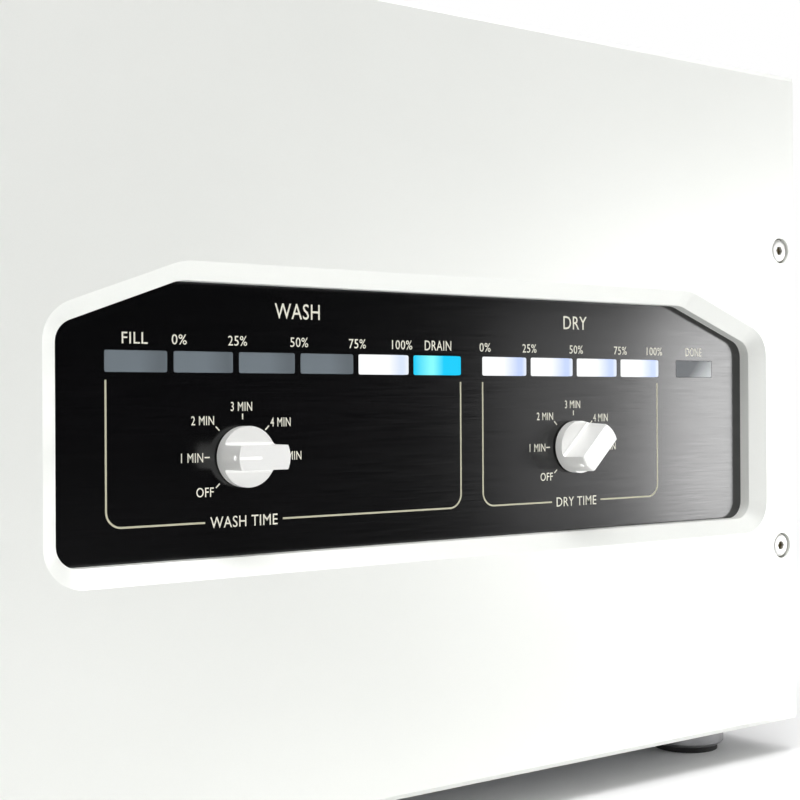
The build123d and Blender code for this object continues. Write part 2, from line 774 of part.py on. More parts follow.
def make_shelf():
    """The shelf that carries the tank and divides the wet half from the dry half."""
    shelf = block(-x_in + sheet_gap, x_in - sheet_gap, shelf_front, y_rear, z_shelf, z_tank)
    notch = rail_w + 1.0
    for side in (-1, 1):
        edge = side * (x_in - notch)
        lo, hi = sorted((edge, side * (x_in + 1)))
        shelf -= block(lo, hi, y_rear - notch, y_rear + 1, z_shelf - 1, z_tank + 1)
    x0, x1, y0, y1 = duct_span()
    shelf -= block(x0 - 1.0, x1 + 1.0, y0 - 1.0, y1 + 1.0, z_shelf - 1, z_tank + 1)
    shelf -= rod_z(0, y_slot, z_shelf - 1, z_tank + 1, tank_drain_r + 0.5)
    shelf -= rod_z(filler_x, y_filler, z_shelf - 1, z_tank + 1, filler_bore_r + 3.5)
    shelf -= rod_z(pump_x, y_pump, z_shelf - 1, z_tank + 1, hose_r + 1.5)
    return shelf


def make_posts():
    """Hexagonal posts between the base plate and the shelf."""
    bar_shape = RegularPolygon(radius=post_r, side_count=6)
    post = extrude(bar_shape, amount=z_shelf - z_floor)
    return group([Pos(x, y, z_floor) * post for x, y in post_places])


def make_tank():
    """The welded stainless tank: a narrow open box with a folded rim."""
    half_x = tank_half_w + tank_wall
    half_y = tank_gap / 2 + tank_wall
    tank = block(-half_x, half_x, y_slot - half_y, y_slot + half_y, z_tank, z_rim)
    tank += block(-half_x, half_x, y_slot - half_y - tank_flange, y_slot + half_y + tank_flange,
                  z_rim - tank_wall, z_rim)
    tank -= block(-tank_half_w, tank_half_w, y_slot - tank_gap / 2, y_slot + tank_gap / 2,
                  z_tank + tank_wall, z_rim + 1)
    for x in (-roller_x, roller_x):
        tank -= rod_y(x, z_roller, y_slot, y_slot + half_y + 1, seal_r)
    tank -= rod_z(0, y_slot, z_tank - 1, z_tank + tank_wall + 1, 5.0)
    tank -= rod_y(hose_top_x, z_hose_top, y_slot, y_slot + half_y + 1, 4.0)
    return tank


y_belt = y_tank_back + seal_out + 5.0


def roller_profile(inner_r):
    """Half outline of a grooved roller, radius across and width along."""
    half = roller_w / 2
    return Polyline((inner_r, -half), (roller_r, -half), (roller_r, -half + 1.5),
                    (roller_r - groove_deep, -1.6), (roller_r - groove_deep, 1.6),
                    (roller_r, half - 1.5), (roller_r, half), (inner_r, half), close=True)


def turned_y(x, y, z, outline):
    """A solid of revolution about a line along Y; the outline's Y runs towards the back."""
    solid = revolve(Plane.XZ * make_face(outline), Axis.Z)
    return Plane(origin=(x, y, z), x_dir=(1, 0, 0), z_dir=(0, 1, 0)).location * solid


def make_tyre(x):
    """The rubber tyre that the record's edge stands on."""
    return turned_y(x, y_slot, z_roller, roller_profile(hub_r))


def make_drive_shaft():
    """The drive roller's hub and shaft, out through the tank's back wall to its pulley."""
    hub = rod_y(roller_x, z_roller, y_slot - roller_w / 2, y_slot + roller_w / 2, hub_r)
    end = y_belt + belt_w / 2 + 4.0
    return hub + rod_y(roller_x, z_roller, y_slot, end, shaft_r)


def make_idler_hub():
    """The idler roller's hub, bored to turn on its fixed axle."""
    hub = rod_y(-roller_x, z_roller, y_slot - roller_w / 2, y_slot + roller_w / 2, hub_r)
    return hub - rod_y(-roller_x, z_roller, y_slot - 20, y_slot + 20, shaft_r + running)


def make_idler_axle():
    """The idler's axle: a flanged stud through the tank's back wall, with a nut behind it."""
    front = y_slot - roller_w / 2 - 1.0
    axle = rod_y(-roller_x, z_roller, front, y_tank_back + 1, shaft_r)
    axle += rod_y(-roller_x, z_roller, y_slot + roller_w / 2 + 0.8, y_tank_back, seal_r - 0.05)
    axle += rod_y(-roller_x, z_roller, y_tank_back, y_tank_back + seal_out, seal_r + 3.0)
    return axle


def make_shaft_seal():
    """The sealed bearing that carries the drive shaft in the tank's back wall."""
    front = y_slot + roller_w / 2 + 0.8
    seal = rod_y(roller_x, z_roller, front, y_tank_back, seal_r - 0.05)
    seal += rod_y(roller_x, z_roller, y_tank_back, y_tank_back + seal_out, seal_r + 3.0)
    return seal - rod_y(roller_x, z_roller, front - 1, y_tank_back + 20, shaft_r + running)


def pulley_outline(r, bore_r):
    """Half outline of a flanged belt pulley."""
    half = belt_w / 2 + 0.5
    rim = r + belt_t + clear + 1.0
    return Polyline((bore_r, -half - 1.2), (rim, -half - 1.2), (rim, -half), (r, -half),
                    (r, half), (rim, half), (rim, half + 1.2), (bore_r, half + 1.2), close=True)


def make_drive_pulley():
    """The large pulley on the drive roller's shaft."""
    return turned_y(roller_x, y_belt, z_roller, pulley_outline(pulley_r, shaft_r))


z_motor = z_tank + motor_seat + motor_r
motor_shaft_r = 2.5
bracket_t = 3.0
bracket_foot = 19.0
bracket_up = 4.0           # bracket past the motor at its top
bracket_corner_r = 8.0
bracket_bore_r = 6.0
gearbox_len = 20.0
y_bracket = y_belt + belt_w / 2 + 6.0
bracket_half_w = motor_r + 5.0


def make_motor_pulley():
    """The small pulley on the motor's shaft, with the shaft."""
    pulley = turned_y(roller_x, y_belt, z_motor, pulley_outline(motor_pulley_r, 0.0))
    return pulley + rod_y(roller_x, z_motor, y_belt, y_bracket + bracket_t + 8.0, motor_shaft_r)


def make_belt():
    """The flat belt around both pulleys."""
    def loop(extra):
        upper = Pos(roller_x, z_roller) * Circle(pulley_r + extra)
        lower = Pos(roller_x, z_motor) * Circle(motor_pulley_r + extra)
        return make_hull((upper + lower).edges())
    ring = loop(clear + belt_t) - loop(clear)
    return upright(ring, y_belt - belt_w / 2, y_belt + belt_w / 2)


def make_motor_bracket():
    """The angle bracket that stands on the shelf and carries the gear motor."""
    x0, x1 = roller_x - bracket_half_w, roller_x + bracket_half_w
    top = z_motor + motor_r + bracket_up
    plate = block(x0, x1, y_bracket, y_bracket + bracket_t, z_tank, top)
    plate = fillet(plate.edges().filter_by(Axis.Y).sort_by(Axis.Z)[-2:], bracket_corner_r)
    y_foot = y_bracket + bracket_t
    foot = block(x0, x1, y_foot, y_foot + bracket_foot, z_tank, z_tank + bracket_t)
    bracket = plate + foot
    return bracket - rod_y(roller_x, z_motor, y_bracket - 1, y_foot + 1, bracket_bore_r)


def make_motor():
    """The geared motor that turns the record: gearbox in front, can behind."""
    front = y_bracket + bracket_t
    motor = rod_y(roller_x, z_motor, front, front + gearbox_len, motor_r - 0.5)
    motor += rod_y(roller_x, z_motor, front + gearbox_len, front + motor_len, motor_r - 2.5)
    for side in (-1, 1):
        x = roller_x + side * 6.0
        motor += block(x - 1.2, x + 1.2, front + motor_len, front + motor_len + 5.0,
                       z_motor - 0.4, z_motor + 0.4)
    return motor - rod_y(roller_x, z_motor, front - 1, front + 9.0, motor_shaft_r + running)


# ---------------------------------------------------------------- transducers
transducer_x = roller_x - bracket_half_w - transducer_gap - transducer_r
z_transducer = z_roller
horn_len = 22.0


def make_transducers():
    """Four ultrasonic transducers: aluminium horn, piezo rings with electrodes, steel back."""
    one = Pos(0, 0, horn_len / 2) * Cone(transducer_r, transducer_r - 4.5, horn_len)
    top = transducer_len - 14.0
    one += rod_z(0, 0, horn_len, top, transducer_r - 4.5)
    one -= rod_z(0, 0, horn_len + 5.5, horn_len + 6.0, transducer_r) - rod_z(
        0, 0, horn_len, top, transducer_r - 6.0)
    one += rod_z(0, 0, top, transducer_len, transducer_r - 5.5)
    one += block(-2.0, 2.0, 0, transducer_r + 3.0, horn_len + 4.5, horn_len + 5.0)
    wall = tank_gap / 2 + tank_wall
    places = []
    for side in (-1, 1):
        for x in (-transducer_x, transducer_x):
            places.append(facing(x, y_slot + side * wall, z_transducer, (0, side, 0)))
    return group([place * one for place in places])


# ---------------------------------------------------------------- air knives, ducts and blowers
z_knife = z_rim


def make_air_knives():
    """Two long nozzles above the tank, one for each face of the record."""
    knives = []
    for side in (-1, 1):
        half = tank_half_w + tank_wall + 1.0
        near = y_slot + side * knife_clear
        far = near + side * knife_d
        z0, z1 = z_knife, z_knife + knife_h
        lo, hi = sorted((near, far))
        body = block(-half, half, lo, hi, z0, z1)
        edge = [e for e in body.edges().filter_by(Axis.X) if abs(e.center().Y - near) < 0.01]
        body = chamfer(edge, 4.0)
        core = sorted((near + side * 4.0, far - side * 1.6))
        body -= block(-half + 3.0, half + 1, core[0], core[1], z0 + 4.0, z1 - 4.0)
        slit = sorted((near - side, near + side * 5.0))
        body -= block(-half + 6, half - 6, slit[0], slit[1], z0 + knife_h / 2 - 0.4, z0 + knife_h / 2 + 0.4)
        knives.append(body)
    return group(knives)


blower_w = x_in - blower_side_gap - blower_in
wheel_w = blower_w - 2 * duct_wall - 2 * wheel_gap
z_blower = z_floor + blower_foot_h + blower_r
z_outlet_top = z_blower + blower_r + 14.0
inlet_hole_r = 20.0


def make_duct():
    """The upright duct that leads the blower's air to the ends of both knives."""
    x0, x1, y0, y1 = duct_span()
    top = z_knife + knife_h + 2.0
    duct = block(x0, x1, y0, y1, z_outlet_top, top)
    w = duct_wall
    duct -= block(x0 + w, x1 - w, y0 + w, y1 - w, z_outlet_top - 1, top - w)
    for side in (-1, 1):
        near = y_slot + side * (knife_clear + 4.0)
        far = y_slot + side * (knife_clear + knife_d - 1.6)
        lo, hi = sorted((near, far))
        duct -= block(x0 - 1, x0 + w + 1, lo, hi, z_knife + 4.0, z_knife + knife_h - 4.0)
    return duct


wheel_axle_r = 3.0
blower_motor_r = 17.0


def make_blower_housing():
    """A scroll housing with its inlet towards the middle and its outlet up into the duct."""
    x0, x1 = blower_in, blower_in + blower_w
    y0, y1 = duct_span()[2:]
    w = duct_wall
    shell = rod_x(y_blower, z_blower, x0, x1, blower_r)
    shell += block(x0, x1, y0, y1, z_blower, z_outlet_top)
    shell += block(x0, x1, y_blower - 24.0, y_blower + 24.0, z_floor, z_blower)
    shell -= rod_x(y_blower, z_blower, x0 + w, x1 - w, blower_r - w)
    shell -= block(x0 + w, x1 - w, y0 + w, y1 - w, z_blower, z_outlet_top + 1)
    shell -= rod_x(y_blower, z_blower, x0 - 1, x0 + w + 1, inlet_hole_r)
    return shell - rod_x(y_blower, z_blower, x1 - w - 1, x1 + 1, wheel_axle_r + 1.0)


def make_blower_wheel():
    """A forward-curved blower wheel: back disc, ring and blades, with its motor shaft."""
    x_back = blower_in + blower_w - duct_wall - wheel_gap
    x_front = x_back - wheel_w
    wheel = rod_x(y_blower, z_blower, x_back - 6.0, x_back, 7.0)
    wheel += rod_x(y_blower, z_blower, x_back - 1.6, x_back, wheel_r)
    ring = rod_x(y_blower, z_blower, x_front, x_front + 2.0, wheel_r)
    ring -= rod_x(y_blower, z_blower, x_front - 1, x_front + 3.0, wheel_r - 9.0)
    wheel += ring
    middle = (x_front + x_back) / 2
    blade = Pos(middle, 0, wheel_r - 4.5) * Rot(30, 0, 0) * Box(wheel_w, 1.0, 7.5)
    turn = 360.0 / wheel_blades
    wheel += [Pos(0, y_blower, z_blower) * Rot(turn * i, 0, 0) * blade for i in range(wheel_blades)]
    return wheel + rod_x(y_blower, z_blower, x_back, x_in - 3.0, wheel_axle_r)


def make_blower_motor():
    """The blower's flat motor on the housing's outer wall."""
    x_wall = blower_in + blower_w
    motor = rod_x(y_blower, z_blower, x_wall, x_in - 1.0, blower_motor_r)
    return motor - rod_x(y_blower, z_blower, x_wall - 1, x_in - 2.5, wheel_axle_r + running)


# ---------------------------------------------------------------- water: reservoir, pump, valves
z_res_top = z_shelf - drain_space
hose_r = 5.0
pump_gap = 1.0             # between the pump and the drain pipe
pump_back = 6.0            # between the pump and the rear panel
pump_r = 17.0
pump_h = 42.0
pump_spigot = 10.0
pump_inlet_up = 14.0
pump_x = outlet_x + pipe_r + pump_gap + pump_r
y_pump = y_rear - pump_back - pump_r
hose_top_x = 34.0
hose_up = 18.0             # hose axis above the shelf, at the tank
z_hose_top = z_tank + hose_up
reservoir_wall = 2.5
reservoir_corner_r = 8.0


def make_reservoir():
    """The moulded water reservoir on the base plate."""
    tank = block(reservoir_left, reservoir_right, y_res_front, y_res_back, z_floor, z_res_top)
    tank = fillet(tank.edges().filter_by(Axis.Z), reservoir_corner_r)
    w = reservoir_wall
    tank -= block(reservoir_left + w, reservoir_right - w, y_res_front + w, y_res_back - w,
                  z_floor + w, z_res_top - w)
    tank -= rod_z(filler_x, y_filler, z_res_top - 5, z_res_top + 1, filler_bore_r)
    tank -= rod_z(0, y_slot, z_res_top - 5, z_res_top + 1, 5.0)
    tank -= rod_y(outlet_x, z_outlet, y_res_back - 5, y_res_back + 1, pipe_r - 2.0)
    tank -= rod_y(pump_x, z_floor + pump_inlet_up, y_res_back - 5, y_res_back + 1, hose_r - 2.0)
    return tank


def make_filler_neck():
    """The filler pipe from the top cover down to the reservoir, with a flange on the cover."""
    neck = rod_z(filler_x, y_filler, z_res_top, z_top, neck_r)
    neck += rod_z(filler_x, y_filler, z_top, z_top + 1.5, neck_r + neck_flange)
    return neck - rod_z(filler_x, y_filler, z_res_top - 1, z_top + 5, filler_bore_r)


def make_filler_cap():
    """The quarter-turn cap on the filler, with a grip bar across its top."""
    low = z_top + 1.5 + 0.1
    cap = rod_z(filler_x, y_filler, low, low + cap_h, cap_r)
    cap = fillet(cap.edges().filter_by(GeomType.CIRCLE).sort_by(Axis.Z)[-1], 1.2)
    for side in (-1, 1):
        cut = Box(3 * cap_r, 2 * cap_r, 2 * cap_grip_h)
        cap -= Pos(filler_x, y_filler + side * (cap_r + cap_grip_w / 2), low + cap_h) * cut
    plug_len = 12.0
    cap += rod_z(filler_x, y_filler, low - plug_len, low + 0.5, filler_bore_r - running)
    return cap


drain_body = 28.0          # solenoid valve's body, square in plan
drain_seat = 4.0           # pipe shown above and below the body
drain_coil_len = 20.0
drain_coil_w = 18.0
drain_coil_h = 18.0
drain_coil_up = 2.0
drain_bore_r = 4.0


def make_tank_drain():
    """The solenoid valve that lets the tank's water fall into the reservoir."""
    half = drain_body / 2
    low = z_res_top + drain_seat
    high = z_shelf - drain_seat
    body = block(-half, half, y_slot - half, y_slot + half, low, high)
    body = fillet(body.edges().filter_by(Axis.Z), 3.0)
    body += rod_z(0, y_slot, high - 1, z_tank, tank_drain_r)
    body += rod_z(0, y_slot, z_res_top, low + 1, tank_drain_r)
    coil = low + drain_coil_up
    body += block(half, half + drain_coil_len, y_slot - drain_coil_w / 2, y_slot + drain_coil_w / 2,
                  coil, coil + drain_coil_h)
    return body - rod_z(0, y_slot, z_res_top - 1, z_tank + 1, drain_bore_r)


def make_pump():
    """The wash pump, a magnetically driven centrifugal pump."""
    pump = rod_z(pump_x, y_pump, z_floor, z_floor + pump_h, pump_r)
    top = z_floor + pump_h
    pump += rod_z(pump_x, y_pump, top, top + pump_spigot, hose_r)
    return pump + rod_y(pump_x, z_floor + pump_inlet_up, y_res_back, y_pump, hose_r)


def make_fill_hose():
    """The hose from the pump up to the tank's back wall."""
    start = z_floor + pump_h + pump_spigot
    path = FilletPolyline(
        (pump_x, y_pump, start),
        (pump_x, y_pump, z_hose_top),
        (hose_top_x, y_pump, z_hose_top),
        (hose_top_x, y_tank_back, z_hose_top),
        radius=15.0,
    )
    section = Plane(origin=(pump_x, y_pump, start), z_dir=(0, 0, 1)) * Circle(hose_r)
    return sweep(section, path=path)


valve_r = 10.0
spout_r = 6.0
stem_r = 3.0
lever_len = 34.0


def make_drain_valve():
    """The ball valve: its tail through the rear panel, its body and its hose spout."""
    end = y_back + valve_len
    body = rod_y(outlet_x, z_outlet, y_back, end, valve_r)
    body += rod_y(outlet_x, z_outlet, y_res_back, y_back + 1, pipe_r)
    hexagon = Pos(outlet_x, z_outlet) * RegularPolygon(radius=valve_r + 2.5, side_count=6)
    body += upright(hexagon, y_back, y_back + 6.0)
    body += upright(hexagon, end - 6.0, end)
    middle = y_back + valve_len / 2
    body += rod_z(outlet_x, middle, z_outlet, z_outlet + valve_r + 4.0, 5.5)
    body += rod_y(outlet_x, z_outlet, end - 1, end + spout_len, spout_r)
    body -= rod_z(outlet_x, middle, z_outlet, z_outlet + 40.0, stem_r + running)
    body -= rod_y(outlet_x, z_outlet, end - 4.0, end + spout_len + 1, spout_r - 1.6)
    return body - rod_y(outlet_x, z_outlet, y_res_back - 1, y_back + 4.0, pipe_r - 2.0)


def make_drain_lever():
    """The valve's stem and lever; crosswise is shut, in line with the pipe is open."""
    middle = y_back + valve_len / 2
    top = z_outlet + valve_r + 4.0
    lever = rod_z(outlet_x, middle, z_outlet + 2.0, top + 4.0, stem_r)
    lever += rod_z(outlet_x, middle, top + clear, top + 4.0, 6.0)
    grip = block(outlet_x, outlet_x + lever_len, middle - 4.5, middle + 4.5, top + 1.0, top + 3.5)
    grip = fillet(grip.edges().filter_by(Axis.Z).sort_by(Axis.X)[-2:], 4.0)
    return lever + grip


# ---------------------------------------------------------------- mains and electronics
inlet_rim = 10.0
inlet_flange_t = 3.0
inlet_inside = 22.0        # inlet's body behind the rear panel's inner face
switch_inside = 18.0
socket_depth = 14.0
socket_rim = 1.7
blade_w = 2.0
blade_h = 4.0
blade_spread = 7.0
blade_offset = 2.0
drawer_w = 12.0
drawer_h = 18.0
drawer_out = 1.2
switch_rim = 1.3           # wall around the switch's hole
switch_hole_w = rocker_w - 2 * switch_rim
switch_hole_h = rocker_h - 2.4
rocker_tilt = 10.0
rocker_side_gap = 0.4
rocker_end_gap = 1.9       # at its ends, for the swing
rocker_face_w = switch_hole_w - 2 * rocker_side_gap
pivot_r = 1.2
pivot_len = 1.0            # pivot pins past the rocker's sides
pivot_in = 4.0             # pivot axis in from the rear panel's outer face
y_pivot = y_back - pivot_in


def make_power_inlet():
    """The mains module: appliance inlet, fuse drawer and switch frame in one moulding."""
    left = inlet_x - inlet_w / 2 - inlet_rim
    right = rocker_x + rocker_w / 2 + inlet_rim
    flange = Pos((left + right) / 2, inlet_z) * RectangleRounded(right - left, inlet_h + 10.0, 3.0)
    y_out = y_back + inlet_flange_t
    inlet = upright(flange, y_back, y_out)
    body = Pos(inlet_x, inlet_z) * RectangleRounded(inlet_w - 0.4, inlet_h - 0.4, 2.0)
    inlet += upright(body, y_rear - inlet_inside, y_back)
    body = Pos(rocker_x, inlet_z) * Rectangle(rocker_w - 0.4, rocker_h - 0.4)
    inlet += upright(body, y_rear - switch_inside, y_back)
    recess = Pos(inlet_x, inlet_z) * RectangleRounded(inlet_w - 2 * socket_rim, inlet_h - 3.6, 3.0)
    inlet -= upright(recess, y_back - socket_depth, y_out + 1)
    for px, pz in ((-blade_spread, -blade_offset), (blade_spread, -blade_offset), (0.0, blade_offset)):
        x, z = inlet_x + px, inlet_z + pz
        inlet += block(x - blade_w / 2, x + blade_w / 2, y_back - socket_depth - 1, y_back - 3.0,
                       z - blade_h / 2, z + blade_h / 2)
    hole = Pos(rocker_x, inlet_z) * Rectangle(switch_hole_w, switch_hole_h)
    inlet -= upright(hole, y_rear - 12.0, y_out + 1)
    reach = rocker_face_w / 2 + pivot_len
    inlet -= rod_x(y_pivot, inlet_z, rocker_x - reach - 0.1, rocker_x + reach + 0.1, pivot_r + running)
    drawer = (inlet_x + inlet_w / 2 + rocker_x - rocker_w / 2) / 2
    half_w, half_h = drawer_w / 2, drawer_h / 2
    inlet += block(drawer - half_w, drawer + half_w, y_back + 2.0, y_out + drawer_out,
                   inlet_z - half_h, inlet_z + half_h)
    return inlet - block(drawer - half_w + 2.0, drawer + half_w - 2.0, y_out + drawer_out / 2,
                         y_out + drawer_out + 1, inlet_z + half_h - 3.5, inlet_z + half_h - 2.0)


def make_rocker():
    """The mains switch's rocker, with two faces that meet over its pivot."""
    half = switch_hole_h / 2 - rocker_end_gap
    out = y_back + inlet_flange_t + 0.4
    rise = half * math.tan(math.radians(rocker_tilt))
    outline = Polyline((out, 0), (out + rise, half), (y_pivot - 1.0, half), (y_pivot - 5.0, 0),
                       (y_pivot - 1.0, -half), (out + rise, -half), close=True)
    half_w = rocker_face_w / 2
    plane = Plane(origin=(rocker_x - half_w, 0, inlet_z), x_dir=(0, 1, 0), z_dir=(1, 0, 0))
    rocker = extrude(plane * make_face(outline), amount=rocker_face_w)
    reach = half_w + pivot_len
    rocker += rod_x(y_pivot, inlet_z, rocker_x - reach, rocker_x + reach, pivot_r)
    pivot = Pos(rocker_x, y_pivot, inlet_z)
    return pivot * Rot(rocker_tilt, 0, 0) * pivot.inverse() * rocker


psu_gap = 16.0             # between the power supply and the drain pipe
psu_w = 86.0
psu_h = 110.0
psu_d = 38.0
psu_x0 = outlet_x - pipe_r - psu_gap - psu_w


def make_power_supply():
    """The caged mains power supply, standing against the rear panel."""
    y1 = y_rear - 1.0
    cage = block(psu_x0, psu_x0 + psu_w, y1 - psu_d, y1, z_floor, z_floor + psu_h)
    for row in range(8):
        z = z_floor + 20.0 + row * 9.0
        cage -= block(psu_x0 + 14.0, psu_x0 + psu_w - 14.0, y1 - psu_d - 1, y1 - psu_d + 1.2,
                      z, z + 3.0)
    return cage


heat_fins = 9
fin_pitch = 10.6
fin_t = 2.0
fin_back_t = 4.0
fin_gap = 3.0              # ahead of the fins
fins_in = 24.0             # heat sink in from the board's end
fins_up = 30.0
fins_h = 70.0
generator_side = 44.5      # board's end in from the left side panel
generator_back = 12.0      # between the board and the rear panel
generator_h = 120.0


def make_generator_board():
    """The ultrasonic generator: a board on the shelf with its finned heat sink."""
    y1 = y_rear - generator_back
    x0, x1 = generator_side - x_in, 0.0
    y2 = y1 - board_t
    low, high = z_tank + fins_up, z_tank + fins_up + fins_h
    board = block(x0, x1, y2, y1, z_tank, z_tank + generator_h)
    left = x0 + fins_in
    y_fins = max(y_res_back, y_tank_back + transducer_len) + fin_gap
    board += block(left, left + heat_fins * fin_pitch, y2 - fin_back_t, y2, low, high)
    for i in range(heat_fins):
        x = left + (i + 0.5) * fin_pitch
        board += block(x - fin_t / 2, x + fin_t / 2, y_fins, y2 - fin_back_t, low, high)
    return board


# ---------------------------------------------------------------- cooling fan
def make_fan_frame():
    """The cooling fan's frame, screwed behind the punched grille."""
    y0, y1 = y_rear - fan_t, y_rear
    half = fan_w / 2
    frame = block(fan_x - half, fan_x + half, y0, y1, z_fan - half, z_fan + half)
    frame = fillet(frame.edges().filter_by(Axis.Y), 5.0)
    frame -= rod_y(fan_x, z_fan, y0 - 1, y1 + 1, half - 2.5)
    for i in range(4):
        a = 90.0 * i + 45.0
        strut = Pos(0, 0, (half - 1) / 2 + 4) * Box(5.0, 2.5, half - 8)
        frame += Pos(fan_x, y1 - 1.25, z_fan) * Rot(0, a, 0) * strut
    frame += rod_y(fan_x, z_fan, y1 - 2.5, y1, 14.0)
    frame += rod_y(fan_x, z_fan, y1 - 14.0, y1 - 2.0, 2.0)
    for sx in (-1, 1):
        for sz in (-1, 1):
            spread = fan_screw_spread / 2
            frame -= rod_y(fan_x + sx * spread, z_fan + sz * spread, y0 - 1, y1 + 1, m4_r + 0.05)
    return frame


def make_fan_rotor():
    """The fan's seven-bladed rotor."""
    y0, y1 = y_rear - fan_t + 3.0, y_rear - 4.0
    reach = fan_w / 2 - 4.5
    rotor = rod_y(fan_x, z_fan, y0, y1, 15.0)
    middle = (y0 + y1) / 2
    for i in range(7):
        blade = Pos(0, 0, (reach + 13.0) / 2) * Rot(0, 0, 50) * Box(20.0, 1.4, reach - 13.0)
        rotor += Pos(fan_x, middle, z_fan) * Rot(0, 360.0 / 7 * i, 0) * blade
    return rotor - rod_y(fan_x, z_fan, y1 - 11.0, y1 + 1, 2.0 + running)


# ---------------------------------------------------------------- every node
def build_nodes():
    """All pieces by node name."""
    return {
        "front_plate": make_front_plate(),
        "corner_rails": make_rails(),
        "left_side_panel": make_side_panel(-1),
        "right_side_panel": make_side_panel(1),
        "rear_panel": make_rear_panel(),
        "top_cover": make_top_cover(),
        "base_plate": make_base_plate(),
        "slot_bezel": make_slot_bezel(),
        "slot_lips": make_slot_lips(),
        "foot_cups": make_foot_cups(),
        "foot_pads": make_foot_pads(),
        "front_screws": make_front_screws(),
        "case_screws": make_case_screws(),
        "control_panel": make_control_panel(),
        "wash_lenses": make_lenses(fill_x + wash_x + drain_x),
        "dry_lenses": make_lenses(dry_x + done_x),
        "lamp_baffle": make_lamp_baffle(),
        "display_board": make_display_board(),
        "indicator_lamps": make_lamps(),
        "panel_screws": make_panel_screws(),
        "wash_switch": make_switch(wash_knob_x),
        "dry_switch": make_switch(dry_knob_x),
        "wash_knob": make_knob(wash_knob_x, wash_rest_deg),
        "dry_knob": make_knob(dry_knob_x, dry_rest_deg),
        "wash_shaft": make_shaft(wash_knob_x, wash_rest_deg),
        "dry_shaft": make_shaft(dry_knob_x, dry_rest_deg),
        "shelf": make_shelf(),
        "shelf_posts": make_posts(),
        "wash_tank": make_tank(),
        "drive_tyre": make_tyre(roller_x),
        "drive_shaft": make_drive_shaft(),
        "drive_pulley": make_drive_pulley(),
        "shaft_seal": make_shaft_seal(),
        "idler_tyre": make_tyre(-roller_x),
        "idler_hub": make_idler_hub(),
        "idler_axle": make_idler_axle(),
        "motor_pulley": make_motor_pulley(),
        "drive_belt": make_belt(),
        "motor_bracket": make_motor_bracket(),
        "drive_motor": make_motor(),
        "transducers": make_transducers(),
        "air_knives": make_air_knives(),
        "air_duct": make_duct(),
        "blower_housing": make_blower_housing(),
        "blower_wheel": make_blower_wheel(),
        "blower_motor": make_blower_motor(),
        "reservoir": make_reservoir(),
        "filler_neck": make_filler_neck(),
        "filler_cap": make_filler_cap(),
        "tank_drain": make_tank_drain(),
        "wash_pump": make_pump(),
        "fill_hose": make_fill_hose(),
        "drain_valve": make_drain_valve(),
        "drain_lever": make_drain_lever(),
        "power_inlet": make_power_inlet(),
        "power_rocker": make_rocker(),
        "power_supply": make_power_supply(),
        "generator_board": make_generator_board(),
        "fan_frame": make_fan_frame(),
        "fan_rotor": make_fan_rotor(),
    }


if __name__ == "__main__":
    os.makedirs("parts", exist_ok=True)
    for name, shape in build_nodes().items():
        export_step(shape, f"parts/{name}.step")
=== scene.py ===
"""Looks, lettering, lamps and camera for the record cleaning machine."""
from __future__ import annotations

import json
import logging
import math
from dataclasses import dataclass, field, replace
from enum import Enum
from typing import Callable, Iterable

import bmesh
import bpy
from mathutils import Matrix, Vector


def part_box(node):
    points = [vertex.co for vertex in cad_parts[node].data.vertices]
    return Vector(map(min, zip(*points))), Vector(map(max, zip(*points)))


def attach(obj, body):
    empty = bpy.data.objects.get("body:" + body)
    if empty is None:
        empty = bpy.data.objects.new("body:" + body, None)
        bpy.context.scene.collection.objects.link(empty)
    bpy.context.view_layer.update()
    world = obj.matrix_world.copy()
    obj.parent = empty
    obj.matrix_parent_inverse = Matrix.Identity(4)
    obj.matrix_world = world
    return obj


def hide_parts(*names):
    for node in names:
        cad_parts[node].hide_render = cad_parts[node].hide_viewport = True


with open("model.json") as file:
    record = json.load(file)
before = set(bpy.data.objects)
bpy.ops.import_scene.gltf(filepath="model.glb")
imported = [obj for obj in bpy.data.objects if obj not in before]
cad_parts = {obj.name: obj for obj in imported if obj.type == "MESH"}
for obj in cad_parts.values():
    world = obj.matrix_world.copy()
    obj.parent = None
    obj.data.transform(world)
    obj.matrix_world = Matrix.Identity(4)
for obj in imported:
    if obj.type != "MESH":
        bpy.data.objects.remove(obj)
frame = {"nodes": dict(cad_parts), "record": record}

LOG = logging.getLogger("record_cleaner")
MM = 0.001
WELD_MM = 1e-5
Colour = tuple[float, float, float]
Span = tuple[float, float]
WHITE: Colour = (1.0, 1.0, 1.0)


class Body(Enum):
    """The rigid bodies that new pieces ride on."""

    CASE = "case"
    WASH = "wash_control"
    DRY = "dry_control"


class Lay(Enum):
    """Which way a finish's grain runs, as noise scales per grain along X, Y and Z."""

    EVEN = (1.0, 1.0, 1.0)
    ALONG_X = (0.012, 1.0, 1.0)
    ALONG_Y = (1.0, 0.012, 1.0)
    ALONG_Z = (1.0, 1.0, 0.012)


class Glow(Enum):
    """What an indicator window shows."""

    OFF = "lens_unlit"
    WHITE = "lens_lit_white"
    BLUE = "lens_lit_blue"


# ------------------------------------------------------------------ shader building
# A colour Mix node's inputs for its factor and two colours, and its output.
MIX_FACTOR, MIX_FIRST, MIX_SECOND, MIX_RESULT = 0, 6, 7, 2


